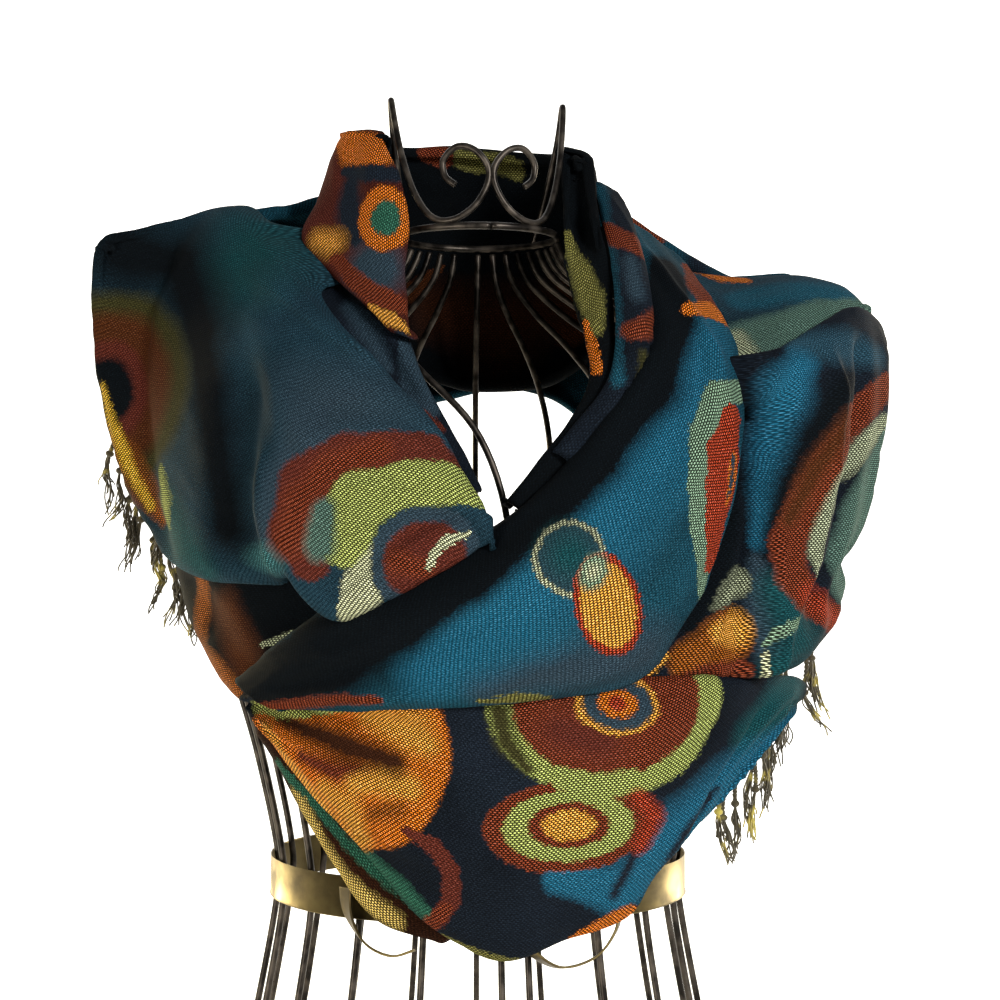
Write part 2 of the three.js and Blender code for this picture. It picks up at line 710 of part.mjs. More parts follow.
// A scroll of the neck, wrapped round the neck ring: each row is an arc length from the front, a height
// and how far it leans out. It runs from the ring's side over the hairpin's tip, down to the front and
// up into its curl.
const scroll = [
  { arc: 114, z: 632, lean: 0 },
  { arc: 101, z: 665, lean: 1 },
  { arc: 90, z: 700, lean: 4 },
  { arc: 84, z: 722, lean: 5.5 },
  { arc: 77, z: 706, lean: 4 },
  { arc: 69, z: 684, lean: 2 },
  { arc: 56, z: 658, lean: 0 },
  { arc: 40, z: 640, lean: 0 },
  { arc: 25, z: 637, lean: 0 },
  { arc: 11, z: 645, lean: 0 },
  { arc: 2.5, z: 659, lean: 0 },
  { arc: 2.5, z: 671, lean: 0 },
  { arc: 11, z: 681, lean: 0 },
  { arc: 22, z: 683, lean: 0 },
  { arc: 31, z: 675, lean: 0 },
  { arc: 30, z: 665, lean: 0 },
  { arc: 23, z: 659, lean: 0 },
];

function neckSolid() {
  const steps = 28;
  let solid = solidOf(new THREE.TorusGeometry(NECK.r, NECK.wire, 5, 26).translate(0, 0, NECK.z));
  for (const side of [-1, 1]) {
    const points = [];
    const faces = [];
    for (let i = 0; i <= steps; i++) {
      const read = (column) => readColumn(scroll, column, i / steps);
      faces.push(around((side * read("arc")) / NECK.r));
      points.push(faces[i].clone().multiplyScalar(NECK.r + read("lean")).setZ(read("z")));
    }
    solid = solid.add(solidOf(tubeGeometry(points, SCROLL_WIRE, WIRE_SIDES, (i) => faces[i])));
  }
  return solid;
}

// The loops of the brass bow on the waist band, which hang below the cloth: the middle of the ribbon.
const bow = [
  {
    name: "bow_loop_left",
    rows: [
      { middle: [-80, -84, 223] },
      { middle: [-78, -87, 207] },
      { middle: [-67, -97, 192] },
      { middle: [-51, -103, 186] },
      { middle: [-37, -105, 190] },
    ],
  },
  {
    name: "bow_loop_right",
    rows: [
      { middle: [28, -99, 207] },
      { middle: [32, -101, 190] },
      { middle: [50, -102, 179] },
      { middle: [72, -95, 183] },
      { middle: [85, -85, 196] },
      { middle: [89, -79.4, 210] },
    ],
  },
];

function bowLoop(loop) {
  const steps = 10;
  const read = (share) => readColumn(loop.rows, "middle", share);
  const grid = [];
  for (let i = 0; i <= steps; i++) {
    const way = read((i + 0.5) / steps).sub(read((i - 0.5) / steps));
    const across = new THREE.Vector3(-way.z, 0, way.x).normalize().multiplyScalar(BOW.wide / 2);
    const middle = read(i / steps);
    grid.push([middle.clone().add(across), middle.clone().sub(across)]);
  }
  return wallGeometry(grid, BOW.wall);
}

const part = new THREE.Group();
const shawl = new THREE.Group();
shawl.position.set(-ORIGIN.x, -ORIGIN.y, 0);
part.add(shawl);

function addMesh(name, geometry, colour, roughness, metalness) {
  const material = new THREE.MeshStandardMaterial({ color: colour, roughness, metalness });
  const mesh = new THREE.Mesh(geometry, material);
  mesh.name = name;
  shawl.add(mesh);
}

// The cloth, each stretch trimmed by the walls of those that lie over it and by the seam round them.
const grids = new Map(stretches.map((stretch) => [stretch.name, clothGrid(stretch)]));
for (const stretch of stretches) {
  let solid = solidOf(wallGeometry(grids.get(stretch.name), WALL));
  for (const name of stretch.under ?? []) {
    const over = grids.get(name);
    solid = solid.subtract(solidOf(wallGeometry(growGrid(over, SEAM), WALL + 2 * SEAM)));
    solid = solid.subtract(solidOf(wallGeometry(over, WALL + SEAM)));
  }
  addMesh(stretch.name, geometryOf(largestBody(solid).simplify(TRIM)), stretch.colour, 0.85, 0);
}

for (const fringe of fringes) {
  addMesh(fringe.name, geometryOf(fringeSolid(fringe).simplify(TRIM)), CLOTH.fringe, 0.9, 0);
}

for (const [n, wire] of wires.entries()) {
  addMesh(`wire_left_${n + 1}`, cageWire(wire, -1), METAL.wire, 0.45, 0.9);
  addMesh(`wire_right_${n + 1}`, cageWire(wire, 1), METAL.wire, 0.45, 0.9);
}
addMesh("neck_top", geometryOf(neckSolid()), METAL.wire, 0.4, 0.9);
for (const loop of bow) addMesh(loop.name, bowLoop(loop), METAL.brass, 0.35, 0.9);
const band = ellipseRing(BAND.x, BAND.y, BAND.wall, BAND.low, BAND.tall, 44);
addMesh("waist_band", band, METAL.brass, 0.35, 0.9);
const base = ellipseRing(BASE.x, BASE.y, BASE.wide, 0, BASE.tall, 40);
addMesh("base_ring", base, METAL.wire, 0.45, 0.9);

export default part;
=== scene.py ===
"""Dresses the wrapped pashmina shawl and its wire dress form for a render."""

import math
import random

import bpy
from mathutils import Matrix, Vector, noise
from mathutils.bvhtree import BVHTree


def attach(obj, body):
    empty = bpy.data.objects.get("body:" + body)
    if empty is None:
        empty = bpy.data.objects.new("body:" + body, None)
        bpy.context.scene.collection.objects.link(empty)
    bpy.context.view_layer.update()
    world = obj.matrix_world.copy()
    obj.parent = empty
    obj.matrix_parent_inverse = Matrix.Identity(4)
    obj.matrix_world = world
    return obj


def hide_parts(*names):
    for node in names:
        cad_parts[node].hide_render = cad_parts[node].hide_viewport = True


bl_info = {
    "name": "Wrapped shawl on a wire form",
    "version": (1, 0, 0),
    "blender": (4, 5, 0),
    "location": "3D View > Sidebar > Shawl",
    "description": "Builds the cloth, fringe and wire form of a draped shawl",
    "category": "Object",
}

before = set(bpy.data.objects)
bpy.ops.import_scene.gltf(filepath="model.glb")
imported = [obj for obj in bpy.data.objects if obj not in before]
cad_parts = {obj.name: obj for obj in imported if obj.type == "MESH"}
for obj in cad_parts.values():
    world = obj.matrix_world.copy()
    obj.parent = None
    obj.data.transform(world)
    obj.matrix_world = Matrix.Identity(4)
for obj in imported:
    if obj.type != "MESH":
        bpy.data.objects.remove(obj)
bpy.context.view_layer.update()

MM = 0.001

# Where the part's origin is, from the foot of the neck's axis, as in the part's source
ORIGIN = Vector((6.4, -19.8, 0.0))

# Cloth shape shared with the solids, in millimetres
LIP = 4.0
LIP_TURN = math.pi * 0.75
FADE = 0.18

# Dress form sizes shared with the solids, in millimetres
FORM_TURN = math.radians(10)
NECK_Z = 633.0
NECK_R = 52.0
BAND = {"low": 203.0, "tall": 26.0, "wall": 1.4, "x": 136.8, "y": 97.8}
BASE = {"x": 168.0, "y": 132.0, "wide": 9.0, "tall": 5.0}

# Thickness of the bow's ribbon in metres
RIBBON_THICKNESS = 0.0014

# Steps of the cloth's grid, and how far a stretch is tucked behind those over it, in millimetres
GRID_STEP = 2.6
TUCK = 3.4

# How much depth counts in the distance from a stroke
STROKE_DEPTH = 0.35

# Length and width in millimetres of the long folds, the creases and the fine ripples of the drape, with how
# far apart two stretches' patterns are, and then the share of the ripple height that each kind has
RIPPLES = ((130, 27, 3.1), (75, 22, 5.7), (22, 11, 1.0))
RIPPLE_SHARES = (1.7, 0.5, 0.3)

# A tassel in millimetres: how far its plies stand from its path, a ply's radius, the length of one twist,
# the knot's length as a share of the tassel, its radius at the ends and how far it swells, and the count and
# the radius of its loose hairs
TASSEL = {"plies": 0.8, "ply": 0.95, "twist": 9, "knot": 0.055, "end": 0.8, "swell": 2.1}
TASSEL.update({"hairs": 13, "hair": 0.48})

# The thin strip that binds a fringe: the heights of its cords and their radius, in millimetres
HEM = {"heights": (-1.6, 0.0, 1.6), "radius": 0.8}

# Threads of the weave: length of a dash, half widths of a dash and a thread, sharpness of their edges,
# share of pale fibre and brightness of the gaps
WEAVE = {"stretch": 0.52, "dash": 0.36, "thread": 0.31, "edge": 6.0, "pale": 0.22, "gap": 0.05}

# The camera's place in metres, and its lens and sensor in millimetres
CAMERA = {"place": (0.0081, -1.1302, 0.460), "lens": 62.73, "sensor": 36.0}

# Lights: place, target and size in metres, share of the key light's power, and colour
LIGHTS = {
    "key_light": ((0.9, -1.4, 1.0), (0.02, 0, 0.42), 0.4, 1.0, (1.0, 0.98, 0.95)),
    "fill_light": ((-0.9, -1.2, 0.1), (-0.05, 0, 0.3), 0.5, 0.5, (1.0, 0.93, 0.8)),
    "left_rim_light": ((-1.2, 0.9, 0.6), (-0.15, 0, 0.4), 0.6, 0.8, (1.0, 0.84, 0.5)),
    "right_rim_light": ((1.2, 0.9, 0.7), (0.15, 0, 0.45), 0.6, 0.5, (1.0, 0.9, 0.7)),
}

# Strength of the world's light, and how much brighter it looks to the camera
WORLD_LIGHT = 0.22
WORLD_SEEN = 0.72

# Colours of the yarns, as linear values. Some are also used as painted shade, painted highlight and painted
# glow on the cloth, as marked where they are used.
YARN = {
    "teal": (0.010, 0.082, 0.128),
    "blue": (0.012, 0.135, 0.235),
    "dusk": (0.018, 0.060, 0.092),
    "slate": (0.026, 0.050, 0.072),
    "pine": (0.006, 0.060, 0.070),
    "navy": (0.009, 0.015, 0.025),
    "shade_black": (0.002, 0.004, 0.006),
    # Not a yarn: near-black painted shade, for cloth that lies in deep shadow
    "aqua": (0.060, 0.200, 0.210),
    "sage": (0.110, 0.210, 0.170),
    "mint": (0.260, 0.420, 0.280),
    "green": (0.030, 0.140, 0.090),
    "lime": (0.480, 0.560, 0.150),
    "straw": (0.700, 0.740, 0.460),
    "pale": (0.460, 0.520, 0.330),
    "gold": (0.850, 0.620, 0.160),
    "olive": (0.240, 0.230, 0.060),
    "moss": (0.042, 0.040, 0.012),
    "brass": (0.420, 0.120, 0.010),
    "orange": (0.900, 0.230, 0.012),
    "amber": (1.000, 0.460, 0.060),
    "red": (0.520, 0.060, 0.018),
    # Not a yarn: painted glow of light shining through the cloth's thin edge
    "edge_glow_yellow": (1.000, 0.640, 0.050),
    "rust": (0.270, 0.052, 0.018),
    "maroon": (0.120, 0.024, 0.014),
    "umber": (0.085, 0.024, 0.006),
    "brown": (0.040, 0.012, 0.004),
}


def table(columns, *rows):
    """Rows of a table with named columns."""
    return [dict(zip(columns, row)) for row in rows]


def sections(*rows):
    """Sections of a stretch: its top edge, its low edge and how far it swells between them."""
    return table(("top", "low", "swell"), *rows)


def creases(*rows):
    """Folds of a stretch: shares along and across it where each starts and ends, its width and depth."""
    return table(("from", "to", "width", "depth"), *rows)


def oval(at, size, turn, soft, *rings, **more):
    """A motif of rings round a centre, with its half sizes and its turn in degrees."""
    return {"at": at, "size": size, "turn": turn, "soft": soft, "rings": rings, **more}


def stroke(colour, soft, *path, **more):
    """A motif along a path, with a half width at each point."""
    return {"path": path, "soft": soft, "rings": [(1, colour)], **more}


# The stretches of the shawl, in millimetres over the tables' zero
STRETCHES = {
    "neck_fold_left": {
        "long": 170, "wide": 60, "round": 0.07,
        "rows": sections(
            ((-91, 15, 703), (-66, 0, 700), 8),
            ((-95, 10, 686), (-55, -29, 675), 12),
            ((-102, 0, 658), (-46, -45, 644), 14),
            ((-111, -15, 631), (-45, -60, 616), 15),
            ((-92, -45, 604), (-45, -72, 590), 12),
            ((-68, -72, 581), (-43, -84, 571), 9),
            ((-54, -86, 566), (-41, -92, 560), 6),
        ),
        "folds": creases(
            ((0, 0.55), (0.7, 0.4), 8, -4),
        ),
    },
    "shoulder_flap_left": {
        "long": 380, "wide": 220, "flat": 0.85,
        "rows": sections(
            ((6, -146, 452), (8, -150, 434), 5),
            ((-18, -136, 494), (-17, -150, 421), 10),
            ((-46, -120, 529), (-49, -146, 404), 16),
            ((-82, -94, 566), (-81, -138, 391), 24),
            ((-107, -60, 601), (-103, -130, 414), 32),
            ((-126, -16, 631), (-135, -106, 411), 38),
            ((-153, 18, 656), (-161, -74, 411), 40),
            ((-186, 32, 654), (-186, -40, 421), 36),
            ((-222, 34, 646), (-207, -14, 447), 28),
            ((-248, 28, 640), (-227, 4, 480), 18),
            ((-256, 26, 630), (-243, 12, 510), 8),
        ),
        "folds": creases(
            ((0.42, 0.35), (0.48, 1.1), 14, -9),
            ((0.34, 0.3), (0.36, 1.05), 16, 5),
            ((0.5, -0.1), (0.7, 0.55), 18, 5),
            ((0.72, 0.1), (0.66, 0.95), 16, -6),
            ((0.9, 0.05), (0.75, 0.85), 14, 4),
        ),
        "creases": creases(
            ((0.2, 0.02), (0.55, 0.12), 7, 4),
            ((0.24, 0.16), (0.5, 0.3), 7, -4),
            ((0.05, 0.5), (0.3, 0.85), 7, -4),
            ((0.12, 0.25), (0.34, 0.5), 8, 4),
            ((0.38, 0.55), (0.44, 1.1), 6, 5),
        ),
        "behind": ["neck_fold_left"],
    },
    "diagonal_band": {
        "long": 480, "wide": 130, "flat": 0.9,
        "rows": sections(
            ((84, 14, 655), (136, 20, 622), 2),
            ((98, -48, 602), (157, -42, 575), 7),
            ((102, -80, 556), (163, -70, 530), 17),
            ((80, -106, 514), (156, -98, 472), 28),
            ((46, -120, 474), (141, -122, 425), 38),
            ((10, -122, 444), (125, -138, 396), 42),
            ((-30, -120, 425), (95, -148, 357), 38),
            ((-72, -116, 406), (49, -155, 346), 30),
            ((-98, -110, 388), (-3, -152, 341), 22),
            ((-124, -94, 368), (-55, -138, 339), 15),
            ((-146, -70, 350), (-120, -104, 334), 8),
        ),
        "folds": creases(
            ((0.2, 0.3), (0.75, 0.22), 14, -5),
            ((0.5, 0.8), (0.95, 0.7), 12, 4),
        ),
        "creases": creases(
            ((0.15, 0.55), (0.5, 0.6), 8, 4),
            ((0.3, 0.85), (0.7, 0.9), 7, -4),
            ((0.6, 0.45), (0.98, 0.5), 7, -4),
            ((0.04, 0.3), (0.3, 0.75), 8, 5),
        ),
        "behind": ["shoulder_flap_left"],
    },
    "front_point": {
        "long": 360, "wide": 150, "flat": 0.8,
        "rows": sections(
            ((-142, -64, 338), (-139, -66, 326), 5),
            ((-106, -92, 344), (-106, -98, 294), 9),
            ((-67, -119, 350), (-67, -113, 253), 16),
            ((-26, -136, 354), (-26, -124, 211), 19),
            ((14, -143, 357), (14, -128, 190), 20),
            ((49, -145, 359), (52, -126, 202), 20),
            ((90, -141, 358), (90, -114, 215), 19),
            ((133, -122, 356), (120, -94, 250), 14),
            ((168, -94, 353), (156, -70, 290), 9),
            ((196, -52, 349), (188, -40, 318), 6),
            ((210, -18, 341), (206, -12, 329), 4),
        ),
        "folds": creases(
            ((-0.05, 0.42), (0.36, 0.36), 12, -6),
            ((-0.05, 0.16), (0.4, 0.18), 13, 4),
            ((0, 0.68), (0.34, 0.56), 12, 5),
            ((0.95, 0.5), (0.6, 0.98), 9, -7),
            ((0.98, 0.75), (0.68, 1.1), 8, 6),
            ((0.92, 0.25), (0.62, 0.75), 11, 4),
        ),
        "creases": creases(
            ((0.02, 0.3), (0.32, 0.27), 7, -6),
            ((0.02, 0.55), (0.3, 0.48), 6, 5),
            ((0.9, 0.4), (0.66, 0.92), 5, 5),
            ((0.84, 0.3), (0.58, 0.95), 5, -5),
            ((0.42, 0.15), (0.7, 0.3), 8, 3),
        ),
        "behind": ["diagonal_band"],
    },
    "shoulder_flap_right": {
        "long": 300, "wide": 200,
        "rows": sections(
            ((153, -81, 539), (100, -133, 349), 6),
            ((173, -90, 546), (128, -126, 350), 9),
            ((196, -78, 559), (161, -102, 350), 18),
            ((221, -56, 574), (193, -70, 355), 24),
            ((243, -28, 585), (210, -40, 364), 22),
            ((262, -2, 580), (225, -14, 374), 14),
            ((272, 13, 568), (237, 4, 388), 6),
        ),
        "folds": creases(
            ((0.42, 0.1), (0.3, 1.05), 12, 12),
            ((0.27, 0.15), (0.2, 1.1), 10, -8),
            ((0.62, 0.15), (0.46, 0.8), 14, -12),
            ((0.8, 0.1), (0.72, 0.9), 14, 5),
            ((0.5, 0.7), (1.5, 0.66), 15, -13),
        ),
        "creases": creases(
            ((0.24, 0.3), (0.375, 1.15), 6, 6),
            ((0.19, 0.3), (0.33, 1.15), 7, -7),
        ),
        "behind": ["diagonal_band", "front_point"],
    },
    "shoulder_top_right": {
        "long": 120, "wide": 100, "face": (0, -0.3, 1),
        "rows": sections(
            ((134, 26, 614), (148, -70, 536), 6),
            ((172, 30, 610), (174, -68, 540), 8),
            ((214, 30, 611), (201, -55, 551), 12),
            ((244, 20, 603), (226, -33, 563), 9),
            ((256, 8, 590), (246, -6, 570), 4),
        ),
        "folds": creases(
        ),
        "behind": ["diagonal_band", "shoulder_flap_right"],
    },
    "neck_pleat_outer": {
        "long": 190, "wide": 40,
        "rows": sections(
            ((78, 4, 670), (97, -2, 652), 6),
            ((85, -46, 624), (106, -47, 603), 10),
            ((87, -72, 590), (108, -76, 565), 11),
            ((86, -92, 554), (106, -94, 534), 10),
            ((78, -106, 528), (94, -106, 510), 8),
            ((50, -122, 492), (62, -120, 482), 6),
        ),
        "behind": ["diagonal_band"],
    },
    "neck_pleat_inner": {
        "long": 230, "wide": 40,
        "rows": sections(
            ((57, 12, 692), (75, 2, 684), 7),
            ((55, -25, 631), (79, -36, 634), 11),
            ((62, -52, 586), (84, -62, 592), 11),
            ((71, -84, 542), (84, -88, 528), 8),
            ((58, -104, 508), (70, -108, 494), 6),
            ((20, -126, 462), (33, -122, 452), 5),
        ),
        "behind": ["neck_pleat_outer", "diagonal_band"],
    },
    "neck_tuck_left": {
        "long": 190, "wide": 40,
        "rows": sections(
            ((-124, -4, 622), (-100, -22, 620), 8),
            ((-107, -52, 584), (-73, -52, 585), 12),
            ((-87, -78, 551), (-47, -73, 565), 13),
            ((-58, -100, 522), (-31, -93, 530), 10),
            ((-37, -117, 495), (-15, -112, 502), 8),
            ((-12, -134, 466), (2, -130, 469), 5),
        ),
        "folds": creases(
            ((0.1, 0.5), (0.7, 0.55), 5, -6),
        ),
        "behind": ["neck_fold_left", "shoulder_flap_left"],
    },
    "pocket_left": {
        "long": 170, "wide": 90,
        "rows": sections(
            ((-199, 10, 420), (-176, 20, 360), 8),
            ((-182, -30, 420), (-164, -15, 343), 9),
            ((-148, -66, 424), (-149, -50, 334), 9),
            ((-106, -88, 426), (-130, -72, 338), 8),
            ((-76, -96, 428), (-100, -90, 345), 6),
            ((-44, -104, 430), (-56, -104, 353), 5),
        ),
        "folds": creases(
            ((0.1, 0.2), (0.6, 0.8), 10, -5),
        ),
        "behind": ["shoulder_flap_left", "diagonal_band", "front_point"],
    },
    "collar_back": {
        "long": 260, "wide": 170,
        "rows": sections(
            ((-66, -4, 700), (-98, 12, 612), 6),
            ((-76, 34, 703), (-90, 55, 590), 8),
            ((-52, 66, 706), (-62, 92, 560), 10),
            ((-18, 77, 708), (-20, 108, 541), 12),
            ((16, 77, 705), (18, 110, 539), 12),
            ((49, 64, 700), (56, 98, 545), 10),
            ((70, 28, 694), (88, 60, 570), 8),
            ((74, 0, 684), (94, 16, 600), 6),
        ),
        "folds": creases(
            ((0.3, 0.2), (0.2, 1.1), 12, 5),
            ((0.72, 0.15), (0.8, 1.1), 12, 5),
        ),
        "behind": ["neck_fold_left", "neck_pleat_inner", "neck_pleat_outer", "diagonal_band"],
    },
    "under_layer_left": {
        "long": 170, "wide": 40,
        "rows": sections(
            ((-128, -70, 326), (-134, -60, 311), 5),
            ((-90, -92, 300), (-114, -80, 282), 7),
            ((-58, -102, 266), (-89, -92, 244), 8),
            ((-28, -108, 231), (-61, -100, 208), 8),
            ((-4, -112, 210), (-24, -108, 197), 5),
        ),
        "behind": ["front_point"],
    },
    "back_left": {
        "long": 330, "wide": 200,
        "rows": sections(
            ((-238, 44, 606), (-230, 30, 508), 4),
            ((-225, 37, 644), (-225, 56, 450), 16),
            ((-186, 38, 652), (-190, 85, 425), 26),
            ((-153, 34, 656), (-150, 105, 440), 26),
            ((-126, 42, 662), (-108, 118, 480), 22),
            ((-95, 62, 677), (-60, 125, 522), 18),
            ((-50, 92, 696), (10, 132, 542), 12),
        ),
        "folds": creases(
            ((0.25, 0.05), (0.35, 0.95), 16, -8),
            ((0.5, 0.1), (0.6, 1.05), 16, 8),
            ((0.75, 0.05), (0.85, 0.95), 14, -6),
        ),
        "creases": creases(
            ((0.0, 0.25), (0.75, 0.5), 9, 8),
            ((0.1, 0.55), (0.95, 0.75), 8, 7),
            ((0.3, 0.0), (1.0, 0.3), 7, 6),
            ((0.05, 0.8), (0.5, 0.9), 7, 5),
        ),
        "behind": ["shoulder_flap_left", "neck_fold_left"],
    },
    "back_right": {
        "long": 330, "wide": 200,
        "rows": sections(
            ((264, 9, 572), (231, 0, 392), 2),
            ((250, 23, 594), (222, 42, 388), 8),
            ((215, 34, 613), (200, 80, 395), 24),
            ((175, 33, 611), (155, 105, 430), 26),
            ((140, 37, 628), (105, 118, 485), 22),
            ((100, 60, 660), (55, 127, 532), 18),
            ((48, 88, 693), (-4, 133, 545), 12),
        ),
        "folds": creases(
            ((-0.6, 0.7), (0.4, 0.76), 22, -12),
            ((0.3, 0.05), (0.36, 0.95), 16, -6),
            ((0.48, 0.1), (0.56, 1.05), 16, 8),
            ((0.7, 0.05), (0.82, 0.95), 14, -6),
        ),
        "creases": creases(
            ((0.05, 0.2), (0.8, 0.45), 9, 8),
            ((0.15, 0.5), (1.0, 0.7), 8, 7),
            ((0.35, 0.05), (1.0, 0.25), 7, 6),
            ((0.1, 0.8), (0.6, 0.85), 7, 5),
        ),
        "behind": ["shoulder_flap_right", "shoulder_top_right", "diagonal_band", "back_left"],
    },
    "tail_right": {
        "long": 150, "wide": 60,
        "rows": sections(
            ((226, 4, 442), (221, 8, 409), 4),
            ((212, -6, 430), (208, -2, 389), 5),
            ((196, -20, 404), (194, -14, 350), 6),
            ((178, -38, 384), (178, -30, 322), 6),
            ((150, -66, 372), (152, -56, 316), 6),
        ),
        "behind": ["front_point", "shoulder_flap_right", "diagonal_band", "back_right"],
    },
}

# The fringes, with the count of their tassels and the seed of their shapes
FRINGES = [
    {
        "name": "fringe_left",
        "count": 14,
        "seed": 31,
        "rows": table(
            ("hem", "outward"),
            ((-236, 17, 528), -0.16), ((-228, 27, 505), -0.14), ((-219, 35, 480), -0.08),
            ((-208, 40, 460), -0.04), ((-197, 41, 444), 0.0), ((-185, 40, 440), 0.0),
        ),
    },
    {
        "name": "fringe_right",
        "count": 13,
        "seed": 47,
        "rows": table(
            ("hem", "outward"),
            ((217, 8, 401), 0.12), ((204, -2, 381), 0.06), ((190, -14, 342), 0.0),
            ((174, -30, 314), 0.0), ((151, -52, 308), 0.0),
        ),
    },
]

# Rows of the form's outline: height, half width, half depth, and how far a wire has turned by then
CAGE = table(
    ("z", "x", "y", "turn"),
    (5.4, 163.5, 127.5, 0), (60, 160, 122, 0), (130, 145, 107, 0), (200, 132.4, 93.4, 0),
    (232, 132.4, 93.4, 0), (296, 146, 93, 0), (361, 164, 95, 0), (440, 177, 98, 0),
    (500, 176, 94, 0.08), (538, 160, 84, 0.24), (566, 128, 70, 0.42), (588, 92, 58, 0.66),
    (610, 62, 53, 0.88), (629, NECK_R, NECK_R, 1),
)

# A wire's angle at the base and at the neck, in degrees, on both sides
WIRES = table(
    ("base", "neck"),
    (3.5, 80), (24, 90), (43, 100), (62, 110), (81, 120), (99, 130), (117, 140), (135, 150),
    (153, 160), (171, 171),
)

# A scroll's path: how far round the neck, its height and how far it leans out
SCROLL = table(
    ("arc", "z", "lean"),
    (114, 632, 0), (101, 665, 1), (90, 700, 4), (84, 722, 5.5), (77, 706, 4), (69, 684, 2),
    (56, 658, 0), (40, 640, 0), (25, 637, 0), (11, 645, 0), (2.5, 659, 0), (2.5, 671, 0),
    (11, 681, 0), (22, 683, 0), (31, 675, 0), (30, 665, 0), (23, 659, 0),
)

# The middle line of each ribbon of the bow
BOW = {
    "bow_loop_left": table(
        ("middle",),
        ((-80, -84, 223),), ((-78, -87, 207),), ((-67, -97, 192),), ((-51, -103, 186),),
        ((-37, -105, 190),),
    ),
    "bow_loop_right": table(
        ("middle",),
        ((28, -99, 207),), ((32, -101, 190),), ((50, -102, 179),), ((72, -95, 183),),
        ((85, -85, 196),), ((89, -79.4, 210),),
    ),
}

# The cloth's ground where it isn't the main colour
GROUNDS = {
    "shoulder_flap_left": "dusk",
    "neck_fold_left": "maroon",
    "neck_tuck_left": "navy",
    "neck_pleat_outer": "navy",
    # Painted shade: the inner pleat, the inside of the collar and the pocket under the left flap lie in deep
    # shadow, so their ground is near-black
    "neck_pleat_inner": "shade_black",
    "collar_back": "shade_black",
    "pocket_left": "shade_black",
    "under_layer_left": "brown",
    "front_point": "navy",
    "shoulder_flap_right": "navy",
    "shoulder_top_right": "dusk",
    "tail_right": "rust",
}

# The picture that the motifs are placed in: its eye over the tables' zero, how far back the eye stands,
# the size of a pixel at that distance in millimetres, its middle pixel, and the reach of a place in pixels
PICTURE = {"x": 14.5, "z": 460.0, "far": 1150.0, "pixel": 0.66, "middle": 500, "near": 6}
